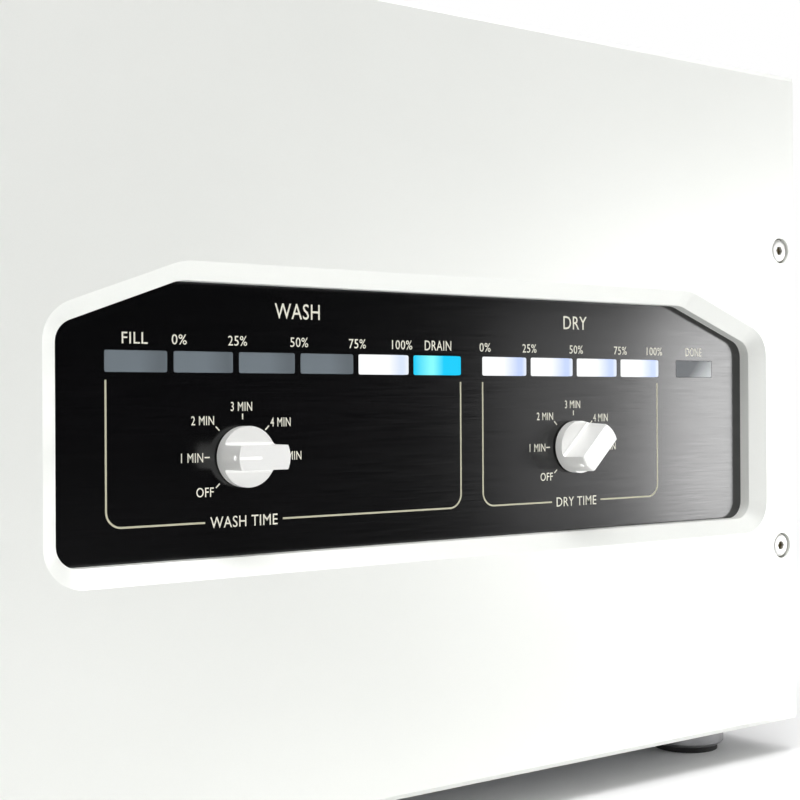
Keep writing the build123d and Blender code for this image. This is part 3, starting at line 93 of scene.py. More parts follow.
class Nodes:
    """A node tree, with short calls for the nodes that the finishes, the floor and the world share."""

    def __init__(self, tree: bpy.types.NodeTree) -> None:
        """Takes the tree and adds its texture coordinates.

        Args:
            tree: a material's or the world's node tree.
        """
        self.tree = tree
        self.coords = self.add("TexCoord")

    def add(self, kind: str) -> bpy.types.Node:
        """A new shader node, named without its common prefix."""
        return self.tree.nodes.new(f"ShaderNode{kind}")

    def link(self, source: bpy.types.NodeSocket, target: bpy.types.NodeSocket) -> None:
        """Joins two sockets."""
        self.tree.links.new(source, target)

    def split(self, space: str = "Object") -> bpy.types.Node:
        """A coordinate's X, Y and Z as the outputs of one node."""
        node = self.add("SeparateXYZ")
        self.link(self.coords.outputs[space], node.inputs["Vector"])
        return node

    def mapped(self, scale: tuple[float, float, float]) -> bpy.types.NodeSocket:
        """Object coordinates with a scale for each axis.

        Args:
            scale: repeats per metre along X, Y and Z.

        Returns:
            The mapped vector.
        """
        node = self.add("Mapping")
        node.inputs["Scale"].default_value = scale
        self.link(self.coords.outputs["Object"], node.inputs["Vector"])
        return node.outputs["Vector"]

    def noise(self, per_metre: tuple[float, float, float], detail: float) -> bpy.types.NodeSocket:
        """A noise texture's grey value.

        Args:
            per_metre: its scale along X, Y and Z.
            detail: its octaves.

        Returns:
            The noise factor.
        """
        node = self.add("TexNoise")
        node.inputs["Scale"].default_value = 1.0
        node.inputs["Detail"].default_value = detail
        self.link(self.mapped(per_metre), node.inputs["Vector"])
        return node.outputs["Fac"]

    def spread(self, value: bpy.types.NodeSocket, low: float, high: float, source: Span,
               eased: bool = False) -> bpy.types.NodeSocket:
        """Maps a span of a value to low and high.

        Args:
            value: the incoming value.
            low: the result at the span's start.
            high: the result at its end.
            source: the span.
            eased: whether the change is slow at both ends.

        Returns:
            The mapped value.
        """
        node = self.add("MapRange")
        node.interpolation_type = "SMOOTHSTEP" if eased else "LINEAR"
        node.inputs["From Min"].default_value = source[0]
        node.inputs["From Max"].default_value = source[1]
        node.inputs["To Min"].default_value = low
        node.inputs["To Max"].default_value = high
        self.link(value, node.inputs["Value"])
        return node.outputs["Result"]

    def blend(self, factor: bpy.types.NodeSocket, first: Colour | bpy.types.NodeSocket,
              second: Colour) -> bpy.types.NodeSocket:
        """Mixes two colours by a factor.

        Args:
            factor: how much of the second shows.
            first: a colour, or a socket that gives one.
            second: a colour.

        Returns:
            The mixed colour.
        """
        node = self.add("Mix")
        node.data_type = "RGBA"
        if isinstance(first, tuple):
            node.inputs[MIX_FIRST].default_value = (*first, 1.0)
        else:
            self.link(first, node.inputs[MIX_FIRST])
        node.inputs[MIX_SECOND].default_value = (*second, 1.0)
        self.link(factor, node.inputs[MIX_FACTOR])
        return node.outputs[MIX_RESULT]

    def math(self, operation: str, *values: float | bpy.types.NodeSocket) -> bpy.types.NodeSocket:
        """A Math node on sockets or numbers.

        Args:
            operation: the node's operation.
            values: what it works on, in the node's order.

        Returns:
            The result.
        """
        node = self.add("Math")
        node.operation = operation
        for socket, value in zip(node.inputs, values):
            if isinstance(value, (int, float)):
                socket.default_value = value
            else:
                self.link(value, socket)
        return node.outputs[0]

    def cross(self, factor: bpy.types.NodeSocket, first: bpy.types.NodeSocket,
              second: bpy.types.NodeSocket) -> bpy.types.NodeSocket:
        """Mixes two shaders.

        Args:
            factor: how much of the second shows.
            first: a shader.
            second: a shader.

        Returns:
            The mixed shader.
        """
        node = self.add("MixShader")
        self.link(factor, node.inputs["Fac"])
        self.link(first, node.inputs[1])
        self.link(second, node.inputs[2])
        return node.outputs["Shader"]


class Shader(Nodes):
    """A material with one Principled BSDF."""

    def __init__(self, name: str) -> None:
        """Starts the material.

        Args:
            name: the material's name.
        """
        self.material = bpy.data.materials.new(name)
        self.material.use_nodes = True
        super().__init__(self.material.node_tree)
        self.bsdf = self.tree.nodes["Principled BSDF"]

    def put(self, socket: str, value: float | Colour) -> None:
        """Sets one of the shader's own sockets to a number or a colour."""
        self.bsdf.inputs[socket].default_value = (*value, 1.0) if isinstance(value, tuple) else value

    def drive(self, socket: str, value: bpy.types.NodeSocket) -> None:
        """Links a varying value to one of the shader's sockets."""
        self.link(value, self.bsdf.inputs[socket])

    def bump(self, height: bpy.types.NodeSocket, depth_mm: float, strength: float) -> None:
        """Bumps the shader's normal by a height.

        Args:
            height: the grey value.
            depth_mm: how deep a full step is, in millimetres.
            strength: how strongly it shows.
        """
        node = self.add("Bump")
        node.inputs["Distance"].default_value = depth_mm * MM
        node.inputs["Strength"].default_value = strength
        self.link(height, node.inputs["Height"])
        self.drive("Normal", node.outputs["Normal"])


# ------------------------------------------------------------------ kinds of finish
@dataclass(frozen=True)
class Finish:
    """A solid surface: a colour with fine variation, grain in the roughness and a fine bump.

    Behind a Y given in the finish, the colour falls off to a darker colour: painted shade, as if in a recess.
    """

    name: str
    colour: Colour
    metallic: float = 0.0
    roughness: float = 0.5
    lay: Lay = Lay.EVEN
    grain_mm: float = 0.5
    grain_detail: float = 3.0
    grain_share: float = 0.6
    cloud_per_metre: float = 9.0
    cloud_detail: float = 2.0
    cloud_share: float = 0.4
    tone_base: float = 0.2
    tone_span: Span = (0.45, 0.95)
    grain_span: Span = (0.3, 0.7)
    colour_spread: float = 0.06
    roughness_spread: float = 0.08
    smoothest: float = 0.03
    bump_mm: float = 0.02
    bump_strength: float = 0.6
    specular: float = 0.5
    coat: float = 0.0
    transmission: float = 0.0
    # emission: painted light, which only the pointer paint uses
    glow: float = 0.0
    # painted shade in recesses: where it starts along Y, how far it takes to fall off, and its dark brown
    # colour
    recess_from: float | None = None
    painted_shade_depth: float = 1.6
    painted_shade_colour: Colour = (0.20, 0.16, 0.08)

    def tone(self, shader: Shader, grain: bpy.types.NodeSocket) -> bpy.types.NodeSocket:
        """The surface's colour: its grain and slow clouds, between a darker and a lighter colour.

        Args:
            shader: the material being built.
            grain: the fine noise.

        Returns:
            The colour.
        """
        clouds = shader.noise((self.cloud_per_metre,) * 3, self.cloud_detail)
        mixed = shader.math("MULTIPLY_ADD", grain, self.grain_share, self.tone_base)
        amount = shader.math("MULTIPLY_ADD", clouds, self.cloud_share, mixed)
        dark = tuple(c * (1.0 - self.colour_spread) for c in self.colour)
        light = tuple(min(1.0, c * (1.0 + self.colour_spread)) for c in self.colour)
        colour = shader.blend(shader.spread(amount, 0.0, 1.0, self.tone_span), dark, light)
        if self.recess_from is None:
            return colour
        # painted shade: behind a Y, the colour falls off towards a dark brown, as if shaded in a recess
        start = self.recess_from * MM
        painted_shade = shader.spread(shader.split().outputs["Y"], 0.0, 1.0, (start, start + self.painted_shade_depth * MM))
        return shader.blend(painted_shade, colour, self.painted_shade_colour)

    def make(self) -> bpy.types.Material:
        """Builds the material and returns it."""
        shader = Shader(self.name)
        per_metre = 1.0 / (self.grain_mm * MM)
        grain = shader.noise(tuple(per_metre * s for s in self.lay.value), self.grain_detail)
        shader.drive("Base Color", self.tone(shader, grain))
        low = max(self.smoothest, self.roughness - self.roughness_spread)
        high = min(1.0, self.roughness + self.roughness_spread)
        shader.drive("Roughness", shader.spread(grain, low, high, self.grain_span))
        shader.put("Metallic", self.metallic)
        shader.put("Specular IOR Level", self.specular)
        shader.put("Coat Weight", self.coat)
        shader.put("Emission Color", self.colour)
        # painted light where glow is set: the surface glows faintly in its own colour
        shader.put("Emission Strength", self.glow)
        shader.put("Transmission Weight", self.transmission)
        shader.bump(grain, self.bump_mm, self.bump_strength)
        return shader.material


@dataclass(frozen=True)
class BoardFinish:
    """A circuit board: green mask with tracks and a scatter of pads."""

    name: str
    colour: Colour = (0.03, 0.17, 0.07)
    track: Colour = (0.06, 0.28, 0.12)
    pad: Colour = (0.62, 0.60, 0.52)
    cells_per_metre: float = 260.0
    pad_reach: float = 0.13
    tracks_per_cell: float = 4.0
    track_share: float = 0.35
    mask_roughness: float = 0.42
    pad_roughness: float = 0.25
    track_mm: float = 0.03
    bump_strength: float = 0.5

    def make(self) -> bpy.types.Material:
        """Builds the material and returns it."""
        shader = Shader(self.name)
        cells = shader.add("TexVoronoi")
        cells.distance = "MANHATTAN"
        cells.inputs["Scale"].default_value = 1.0
        shader.link(shader.mapped((self.cells_per_metre,) * 3), cells.inputs["Vector"])
        distance = cells.outputs["Distance"]
        pads = shader.math("LESS_THAN", distance, self.pad_reach)
        ring = shader.math("FRACT", shader.math("MULTIPLY", distance, self.tracks_per_cell))
        tracks = shader.math("LESS_THAN", ring, self.track_share)
        base = shader.blend(tracks, self.colour, self.track)
        shader.drive("Base Color", shader.blend(pads, base, self.pad))
        shader.drive("Roughness", shader.spread(pads, self.mask_roughness, self.pad_roughness, (0.0, 1.0)))
        shader.bump(tracks, self.track_mm, self.bump_strength)
        return shader.material


@dataclass(frozen=True)
class WindowFinish:
    """A translucent indicator window, unlit or lit from behind by one diode.

    Its tone goes from near to far over the span named rise, and back over the span named fall.
    A slant adds to the place across the window for each window height above its foot.
    """

    name: str
    glow: Glow
    near: Colour
    far: Colour
    rise: Span
    fall: Span | None = None
    slant: float = 0.0
    specular: float = 0.5
    centre_x: float = 0.0
    half_w: float = 12.6
    foot_z: float = 0.0
    high: float = 8.2
    grain_per_metre: float = 400.0
    grain_detail: float = 1.0
    grain_shift: float = 0.02
    grain_span: Span = (0.3, 0.7)
    roughness: Span = (0.3, 0.36)
    lit_base: Colour = (0.01, 0.01, 0.01)

    def make(self) -> bpy.types.Material:
        """Builds the material and returns it."""
        shader = Shader(self.name)
        split = shader.split()
        left, right = (self.centre_x - self.half_w) * MM, (self.centre_x + self.half_w) * MM
        across = shader.spread(split.outputs["X"], 0.0, 1.0, (left, right))
        if self.slant:
            foot = self.foot_z * MM
            upward = shader.spread(split.outputs["Z"], 0.0, self.slant, (foot, foot + self.high * MM))
            across = shader.math("ADD", across, upward)
        grain = shader.noise((self.grain_per_metre,) * 3, self.grain_detail)
        soft = shader.math("MULTIPLY_ADD", grain, self.grain_shift, across)
        amount = shader.spread(soft, 0.0, 1.0, self.rise)
        if self.fall is not None:
            amount = shader.math("MULTIPLY", amount, shader.spread(soft, 1.0, 0.0, self.fall))
        tone = shader.blend(amount, self.near, self.far)
        if self.glow is Glow.OFF:
            shader.drive("Base Color", tone)
        else:
            shader.put("Base Color", self.lit_base)
            shader.drive("Emission Color", tone)
            shader.put("Emission Strength", 1.0)
        shader.put("Specular IOR Level", self.specular)
        shader.drive("Roughness", shader.spread(grain, *self.roughness, self.grain_span))
        return shader.material


# ------------------------------------------------------------------ the machine's finishes
FINISHES: dict[str, Finish | BoardFinish] = {
    finish.name: finish for finish in (
        Finish("front_metal", (0.955, 0.972, 0.933), metallic=0.3, roughness=0.42, grain_mm=0.35,
               colour_spread=0.035, bump_mm=0.012),
        Finish("case_metal", (0.045, 0.045, 0.048), roughness=0.55, grain_mm=0.6, colour_spread=0.2,
               bump_mm=0.05),
        Finish("plain_aluminium", (0.66, 0.67, 0.68), metallic=1.0, roughness=0.38, lay=Lay.ALONG_Z,
               grain_mm=0.3, bump_mm=0.01),
        Finish("base_metal", (0.55, 0.56, 0.57), metallic=1.0, roughness=0.4, grain_mm=3.0,
               colour_spread=0.12, bump_mm=0.02),
        Finish("foot_metal", (0.30, 0.30, 0.31), metallic=1.0, roughness=0.35, grain_mm=0.3,
               bump_mm=0.01),
        Finish("soft_rubber", (0.025, 0.025, 0.025), roughness=0.8, grain_mm=0.4, colour_spread=0.2,
               bump_mm=0.03, specular=0.3),
        Finish("screw_steel", (0.36, 0.36, 0.37), metallic=1.0, roughness=0.34, grain_mm=0.25,
               colour_spread=0.05, bump_mm=0.004),
        Finish("panel_black", (0.0018, 0.0018, 0.0022), roughness=0.18, lay=Lay.ALONG_X, grain_mm=0.22,
               colour_spread=0.4, roughness_spread=0.043, bump_mm=0.0022, specular=0.8),
        Finish("panel_print", (0.78, 0.765, 0.655), roughness=0.6, grain_mm=0.3, bump_mm=0.004),
        # painted light: the pointer paint glows faintly, standing in for the bright catch of light on the
        # knobs' white line and dot
        Finish("pointer_paint", (0.97, 0.97, 0.95), grain_mm=0.2, bump_mm=0.004, glow=0.35),
        Finish("knob_metal", (0.95, 0.95, 0.93), metallic=0.25, roughness=0.38, grain_mm=0.18,
               colour_spread=0.04, bump_mm=0.006),
        Finish("white_plastic", (0.82, 0.82, 0.79), roughness=0.45, grain_mm=0.7, colour_spread=0.03),
        Finish("grey_plastic", (0.22, 0.23, 0.24), bump_mm=0.03),
        Finish("black_plastic", (0.028, 0.028, 0.03), colour_spread=0.15, bump_mm=0.03),
        Finish("gloss_black", (0.02, 0.02, 0.02), roughness=0.15, grain_mm=1.5, roughness_spread=0.04,
               bump_mm=0.004, coat=0.3),
        BoardFinish("circuit_board"),
        Finish("tank_steel", (0.62, 0.63, 0.64), metallic=1.0, roughness=0.3, lay=Lay.ALONG_X,
               grain_mm=0.25, bump_mm=0.01),
        Finish("motor_metal", (0.42, 0.43, 0.44), metallic=1.0, roughness=0.35, lay=Lay.ALONG_Y,
               grain_mm=0.3, bump_mm=0.01),
        Finish("cage_steel", (0.6, 0.61, 0.62), metallic=1.0, roughness=0.42, grain_mm=4.0,
               colour_spread=0.1, bump_mm=0.02),
        Finish("hose_clear", (0.78, 0.80, 0.78), roughness=0.3, grain_mm=2.0, colour_spread=0.04,
               bump_mm=0.03, transmission=0.3),
        Finish("valve_brass", (0.74, 0.55, 0.25), metallic=1.0, roughness=0.3, grain_mm=0.3,
               colour_spread=0.1, bump_mm=0.01),
        Finish("lever_steel", (0.50, 0.03, 0.025), roughness=0.35, grain_mm=0.8, bump_mm=0.02,
               coat=0.3),
    )
}


# ------------------------------------------------------------------ mesh building
def finished(name: str, mesh: bmesh.types.BMesh, material: bpy.types.Material, body: Body,
             smooth_deg: float = 35.0) -> bpy.types.Object:
    """Turns a bmesh in millimetres into a piece that rides on a body.

    Args:
        name: the piece's name.
        mesh: its shape, which is freed here.
        material: its finish.
        body: the body that carries it.
        smooth_deg: edges sharper than this stay sharp.

    Returns:
        The piece, at the origin, in metres.
    """
    bmesh.ops.remove_doubles(mesh, verts=mesh.verts, dist=WELD_MM)
    bmesh.ops.recalc_face_normals(mesh, faces=mesh.faces)
    bmesh.ops.scale(mesh, vec=(MM, MM, MM), verts=mesh.verts)
    for face in mesh.faces:
        face.smooth = True
    data = bpy.data.meshes.new(name)
    mesh.to_mesh(data)
    mesh.free()
    data.set_sharp_from_angle(angle=math.radians(smooth_deg))
    data.materials.append(material)
    piece = bpy.data.objects.new(name, data)
    bpy.context.scene.collection.objects.link(piece)
    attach(piece, body.value)
    LOG.info("piece %s on %s", name, body.value)
    return piece


def box_mesh(low: Vector, high: Vector) -> bmesh.types.BMesh:
    """A box between two corners, in millimetres.

    Args:
        low: the lowest corner.
        high: the highest corner.

    Returns:
        The new bmesh.
    """
    mesh = bmesh.new()
    bmesh.ops.create_cube(mesh, size=1.0)
    bmesh.ops.scale(mesh, vec=high - low, verts=mesh.verts)
    bmesh.ops.translate(mesh, vec=(low + high) / 2, verts=mesh.verts)
    return mesh


def bevelled(mesh: bmesh.types.BMesh, edges: Iterable[bmesh.types.BMEdge], width: float,
             segments: int) -> None:
    """Bevels some edges with the usual settings.

    Args:
        mesh: the bmesh.
        edges: its edges to round.
        width: the bevel's offset in millimetres.
        segments: steps across it.
    """
    bmesh.ops.bevel(mesh, geom=list(edges), offset=width, offset_type="OFFSET", segments=segments,
                    profile=0.5, affect="EDGES", material=-1, clamp_overlap=True)


def merged(target: bmesh.types.BMesh, source: bmesh.types.BMesh, matrix: Matrix | None = None) -> None:
    """Adds one bmesh to another and frees the one added.

    Args:
        target: the bmesh that grows.
        source: the bmesh that is added.
        matrix: where it goes.
    """
    if matrix is not None:
        bmesh.ops.transform(source, matrix=matrix, verts=source.verts)
    data = bpy.data.meshes.new("part")
    source.to_mesh(data)
    source.free()
    target.from_mesh(data)
    bpy.data.meshes.remove(data)


def rotation(degrees: float, axis: str) -> Matrix:
    """A turn about one of the main axes."""
    return Matrix.Rotation(math.radians(degrees), 4, axis)


def linked(name: str, data: bpy.types.ID) -> bpy.types.Object:
    """A new object in the scene's collection."""
    thing = bpy.data.objects.new(name, data)
    bpy.context.scene.collection.objects.link(thing)
    return thing


# ------------------------------------------------------------------ shared sizes
@dataclass(frozen=True)
class FrontLayout:
    """Where things are on the front, in millimetres, read from the frame where it gives them."""

    wash_windows: int = 6
    dry_windows: int = 4
    lamp_w: float = 25.2
    lamp_h: float = 8.2
    lamp_gap: float = 2.4
    group_gap: float = 11.6
    lamp_up: float = 35.9
    lens_clear: float = 0.1
    print_thick: float = 0.04

    @staticmethod
    def centre(node: str, axis: int) -> float:
        """The middle of a node's box along one axis, counted from X."""
        low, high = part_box(node)
        return (low[axis] + high[axis]) / 2 / MM

    @property
    def panel_y(self) -> float:
        """The control panel's front face."""
        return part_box("control_panel")[0].y / MM

    @property
    def knob_z(self) -> float:
        """The height of both knob axes."""
        return self.centre("wash_shaft", 2)

    @property
    def wash_x(self) -> float:
        """The wash knob's axis."""
        return self.centre("wash_shaft", 0)

    @property
    def dry_x(self) -> float:
        """The dry knob's axis."""
        return self.centre("dry_shaft", 0)

    @property
    def middle(self) -> float:
        """The middle of the window and of the row of indicators."""
        return (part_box("wash_lenses")[0].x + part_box("dry_lenses")[1].x) / 2 / MM

    @property
    def lamp_centres(self) -> list[float]:
        """The indicator windows' centres from left to right: the wash group, the dry group and one more."""
        pitch = self.lamp_w + self.lamp_gap
        groups = (self.wash_windows + self.dry_windows) * pitch - 2 * self.lamp_gap
        half_row = (groups + self.lamp_w + 2 * self.group_gap) / 2 - self.lamp_w / 2
        centres = [self.middle - half_row + pitch * i for i in range(self.wash_windows)]
        start = centres[-1] + self.lamp_w + self.group_gap
        centres += [start + pitch * i for i in range(self.dry_windows)]
        return centres + [self.middle + half_row]


# ------------------------------------------------------------------ sub-assemblies
@dataclass
class CadDressing:
    """Gives every node of the frame its finish."""

    finishes: dict[str, Finish | BoardFinish]
    made: dict[str, bpy.types.Material] = field(default_factory=dict)
    # how far behind the screw faces the painted shade starts, in millimetres
    painted_shade_behind: float = 0.3

    def material(self, slot: str) -> bpy.types.Material:
        """The material of a slot, made once."""
        if slot not in self.made:
            self.made[slot] = self.finishes[slot].make()
        return self.made[slot]

    def variant(self, slot: str, name: str, **changes: object) -> bpy.types.Material:
        """A slot's finish with some of its values changed.

        Args:
            slot: the finish that it starts from.
            name: the new material's name.
            changes: the changed values.

        Returns:
            The new material.
        """
        return replace(self.finishes[slot], name=name, **changes).make()

    def dress(self) -> None:
        """Puts each node's slot finish on its mesh."""
        for entry in frame["record"]["subparts"]:
            slot = entry["material_slot"]
            if slot not in self.finishes:
                continue
            self.cover(entry["node"], self.material(slot))
            LOG.info("node %s in %s", entry["node"], slot)
        self.dress_front_screws()

    def cover(self, node: str, material: bpy.types.Material) -> None:
        """Gives a node one material."""
        materials = frame["nodes"][node].data.materials
        materials.clear()
        materials.append(material)

    def dress_front_screws(self) -> None:
        """Brightens the front screws, and paints shade into their sockets and sides, which lie behind their
        faces.
        """
        face_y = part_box("front_screws")[0].y / MM
        self.cover("front_screws", self.variant(
            "screw_steel", "front_screw_steel", colour=(0.84, 0.84, 0.82), metallic=0.5, roughness=0.42,
            bump_mm=0.002, recess_from=face_y + self.painted_shade_behind))


@dataclass
class IndicatorRow:
    """The eleven lit and unlit windows in the control panel."""

    layout: FrontLayout
    flange: float = 0.9
    flange_t: float = 1.0
    panel_t: float = 3.0
    corner: float = 0.8
    corner_steps: int = 4
    edge: float = 0.12

    def window_finish(self, index: int) -> WindowFinish:
        """The finish of one window.

        The wash group ends in a white and a blue one, and the dry group is white.

        Args:
            index: its place in the row, counted from the left.

        Returns:
            Its finish.
        """
        lay = self.layout
        x = lay.lamp_centres[index]
        name = f"window_{index + 1}"
        blue = lay.wash_windows - 1
        last = lay.wash_windows + lay.dry_windows
        if index == blue - 1:
            return WindowFinish(name, Glow.WHITE, near=(0.98, 0.99, 1.0), far=(0.70, 0.79, 0.95),
                                rise=(0.60, 0.84), fall=(0.90, 1.06), centre_x=x)
        if index == blue:
            return WindowFinish(name, Glow.BLUE, near=(0.0, 0.62, 0.97), far=(0.24, 0.985, 0.985),
                                rise=(0.02, 0.36), fall=(0.42, 0.64), specular=0.12, centre_x=x)
        if blue < index < last:
            return WindowFinish(name, Glow.WHITE, near=(0.97, 0.99, 0.99), far=(0.53, 0.64, 0.95),
                                rise=(0.48, 0.82), fall=(0.90, 1.06), centre_x=x)
        if index == last:
            return WindowFinish(name, Glow.OFF, near=(0.035, 0.045, 0.055), far=(0.50, 0.53, 0.54),
                                rise=(0.33, 1.0), slant=-0.30, centre_x=x,
                                foot_z=lay.knob_z + lay.lamp_up - lay.lamp_h / 2)
        return WindowFinish(name, Glow.OFF, near=(0.158, 0.188, 0.212), far=(0.118, 0.140, 0.158),
                            rise=(0.55, 0.88), fall=(0.94, 1.1), centre_x=x)

    def lens(self, x: float) -> bmesh.types.BMesh:
        """One lens: a face that fills its window, and a flange behind the panel.

        Args:
            x: its centre.

        Returns:
            Its shape in millimetres.
        """
        lay = self.layout
        z = lay.knob_z + lay.lamp_up
        half_w = lay.lamp_w / 2 - lay.lens_clear
        half_h = lay.lamp_h / 2 - lay.lens_clear
        front, back = lay.panel_y, lay.panel_y + self.panel_t
        between = (front + back) / 2
        face = box_mesh(Vector((x - half_w, front, z - half_h)), Vector((x + half_w, back, z + half_h)))
        through = [e for e in face.edges if (e.verts[0].co.y < between) != (e.verts[1].co.y < between)]
        bevelled(face, through, self.corner, self.corner_steps)
        rim = [e for e in face.edges if all(v.co.y < between for v in e.verts)]
        bevelled(face, rim, self.edge, 1)
        wide, high = half_w + self.flange, half_h + self.flange
        merged(face, box_mesh(Vector((x - wide, back, z - high)),
                              Vector((x + wide, back + self.flange_t, z + high))))
        return face

    def build(self) -> None:
        """Makes the eleven lenses in place of the two lens nodes."""
        for index, x in enumerate(self.layout.lamp_centres):
            finish = self.window_finish(index)
            piece = finished(f"indicator_lens_{index + 1}", self.lens(x), finish.make(), Body.CASE)
            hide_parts("wash_lenses" if index < self.layout.wash_windows else "dry_lenses")


@dataclass(frozen=True)
class Word:
    """A printed word, its left and right limits, and its foot and top above the knob axes."""

    letters: str
    left: float
    right: float
    foot: float
    top: float


@dataclass(frozen=True)
class Bracket:
    """A bracket's upright lines and the opening in its foot, along X from the window's middle."""

    left: float
    right: float
    gap: Span


TITLES = (Word("WASH", -88.6, -67.9, 53.2, 59.3), Word("DRY", 62.2, 76.4, 53.1, 59.0))
TIMES = (Word("WASH TIME", -117.2, -87.8, -26.8, -22.5), Word("DRY TIME", 57.5, 81.8, -26.7, -22.6))
PROGRESS = (
    Word("FILL", -152.9, -142.6, 42.3, 46.5),
    Word("0%", -132.9, -126.7, 42.3, 46.1), Word("25%", -109.2, -101.0, 42.3, 46.1),
    Word("50%", -81.6, -73.4, 42.3, 46.1), Word("75%", -54.0, -45.8, 42.3, 46.1),
    Word("100%", -32.75, -22.45, 42.3, 46.1),
    Word("DRAIN", -15.9, -1.9, 42.2, 46.3),
    Word("0%", 13.5, 19.7, 42.1, 45.9), Word("25%", 37.8, 46.0, 42.1, 45.9),
    Word("50%", 65.8, 74.0, 42.1, 45.9), Word("75%", 93.6, 101.8, 42.1, 45.9),
    Word("100%", 114.95, 125.25, 42.1, 45.9),
    Word("DONE", 141.5, 152.5, 42.0, 46.1),
)
DIAL = (
    Word("1 MIN", -26.2, -17.0, -1.8, 1.7), Word("2 MIN", -21.9, -12.3, 12.2, 15.6),
    Word("3 MIN", -5.1, 4.2, 17.4, 20.9), Word("4 MIN", 12.3, 21.4, 11.3, 14.8),
    Word("5 MIN", 17.0, 26.3, -1.9, 1.5), Word("OFF", -19.9, -12.6, -14.9, -11.3),
)
DIAL_ANGLES = (225, 180, 135, 90, 45, 0)


@dataclass
class PanelPrint:
    """The cream screen print: numbers, words, dial ticks and the two brackets."""

    layout: FrontLayout
    dressing: CadDressing
    letter_size: float = 10.0
    letter_offset: float = 0.02
    letter_steps: int = 3
    letter_spacing: float = 1.06
    line_w: float = 0.72
    line_ink: Colour = (0.50, 0.485, 0.355)
    corner_r: float = 6.0
    corner_steps: int = 10
    bracket_top: float = 29.0
    bracket_low: float = -24.56
    tick_in: float = 14.2
    tick_out: float = 16.4
    tick_w: float = 0.5

    def text(self, word: Word, middle: float) -> bmesh.types.BMesh:
        """A word fitted between its limits on the panel.

        Args:
            word: the word.
            middle: what its left and right limits are counted from.

        Returns:
            The letters as thin solids in millimetres.
        """
        curve = bpy.data.curves.new("words", "FONT")
        curve.body = word.letters
        curve.size = self.letter_size
        curve.extrude = 0.5
        curve.offset = self.letter_offset
        curve.resolution_u = self.letter_steps
        curve.space_character = self.letter_spacing
        carrier = linked("words", curve)
        depsgraph = bpy.context.evaluated_depsgraph_get()
        data = bpy.data.meshes.new_from_object(carrier.evaluated_get(depsgraph))
        bpy.data.objects.remove(carrier)
        bpy.data.curves.remove(curve)
        mesh = bmesh.new()
        mesh.from_mesh(data)
        bpy.data.meshes.remove(data)
        xs = [v.co.x for v in mesh.verts]
        ys = [v.co.y for v in mesh.verts]
        wide = (word.right - word.left) / (max(xs) - min(xs))
        high = (word.top - word.foot) / (max(ys) - min(ys))
        bmesh.ops.translate(mesh, vec=(-min(xs), -min(ys), 0.5), verts=mesh.verts)
        bmesh.ops.scale(mesh, vec=(wide, high, self.layout.print_thick), verts=mesh.verts)
        move = Matrix.Translation((middle + word.left, self.layout.panel_y, self.layout.knob_z + word.foot))
        bmesh.ops.transform(mesh, matrix=move @ rotation(90.0, "X"), verts=mesh.verts)
        return mesh

    def words(self, name: str, entries: Iterable[Word], middle: float,
              whole: bmesh.types.BMesh | None = None) -> None:
        """Makes one piece of several words.

        Args:
            name: the piece's name.
            entries: the words.
            middle: what their left and right limits are counted from.
            whole: what the piece holds already.
        """
        if whole is None:
            whole = bmesh.new()
        for word in entries:
            merged(whole, self.text(word, middle))
        finished(name, whole, self.dressing.material("panel_print"), Body.CASE)

    def dial(self, name: str, x: float) -> None:
        """One dial's ticks, numbers and off mark.

        Args:
            name: the piece's name.
            x: the knob's axis.
        """
        whole = bmesh.new()
        back = self.layout.panel_y
        half = self.tick_w / 2
        for angle in DIAL_ANGLES:
            tick = box_mesh(Vector((self.tick_in, back - self.layout.print_thick, -half)),
                            Vector((self.tick_out, back, half)))
            merged(whole, tick, Matrix.Translation((x, 0, self.layout.knob_z)) @ rotation(-angle, "Y"))
        self.words(name, DIAL, x, whole)

    def strip(self, points: list[Vector]) -> bmesh.types.BMesh:
        """A flat line of the print's width along straight runs with rounded corners.

        Args:
            points: the line's corners in X and Z, above the knob axes.

        Returns:
            The strip as a thin solid.
        """
        mesh = bmesh.new()
        heading = (points[1] - points[0]).normalized()
        side = Vector((heading.z, 0, -heading.x)) * self.line_w / 2
        edges = [mesh.edges.new([mesh.verts.new(points[0] + side), mesh.verts.new(points[0] - side)])]
        for index, point in enumerate(points[1:], start=1):
            last = index == len(points) - 1
            turn_at = point - heading * (0.0 if last else self.corner_r)
            grown = bmesh.ops.extrude_edge_only(mesh, edges=edges)["geom"]
            verts = [g for g in grown if isinstance(g, bmesh.types.BMVert)]
            middle = sum((v.co for v in verts), Vector()) / len(verts)
            bmesh.ops.translate(mesh, vec=turn_at - middle, verts=verts)
            if last:
                break
            edges = [g for g in grown
                     if isinstance(g, bmesh.types.BMEdge) and all(v in verts for v in g.verts)]
            onward = (points[index + 1] - point).normalized()
            quarter = math.radians(90.0 if heading.cross(onward).y > 0 else -90.0)
            spun = bmesh.ops.spin(mesh, geom=edges + verts, cent=turn_at + onward * self.corner_r,
                                  axis=(0, 1, 0), angle=quarter, steps=self.corner_steps,
                                  use_duplicate=False)["geom_last"]
            edges = [g for g in spun if isinstance(g, bmesh.types.BMEdge)]
            heading = onward
        bmesh.ops.remove_doubles(mesh, verts=mesh.verts, dist=10 * WELD_MM)
        grown = bmesh.ops.extrude_face_region(mesh, geom=mesh.faces[:])["geom"]
        verts = [g for g in grown if isinstance(g, bmesh.types.BMVert)]
        bmesh.ops.translate(mesh, vec=(0, -self.layout.print_thick, 0), verts=verts)
        bmesh.ops.translate(mesh, vec=(0, self.layout.panel_y, self.layout.knob_z), verts=mesh.verts)
        return mesh

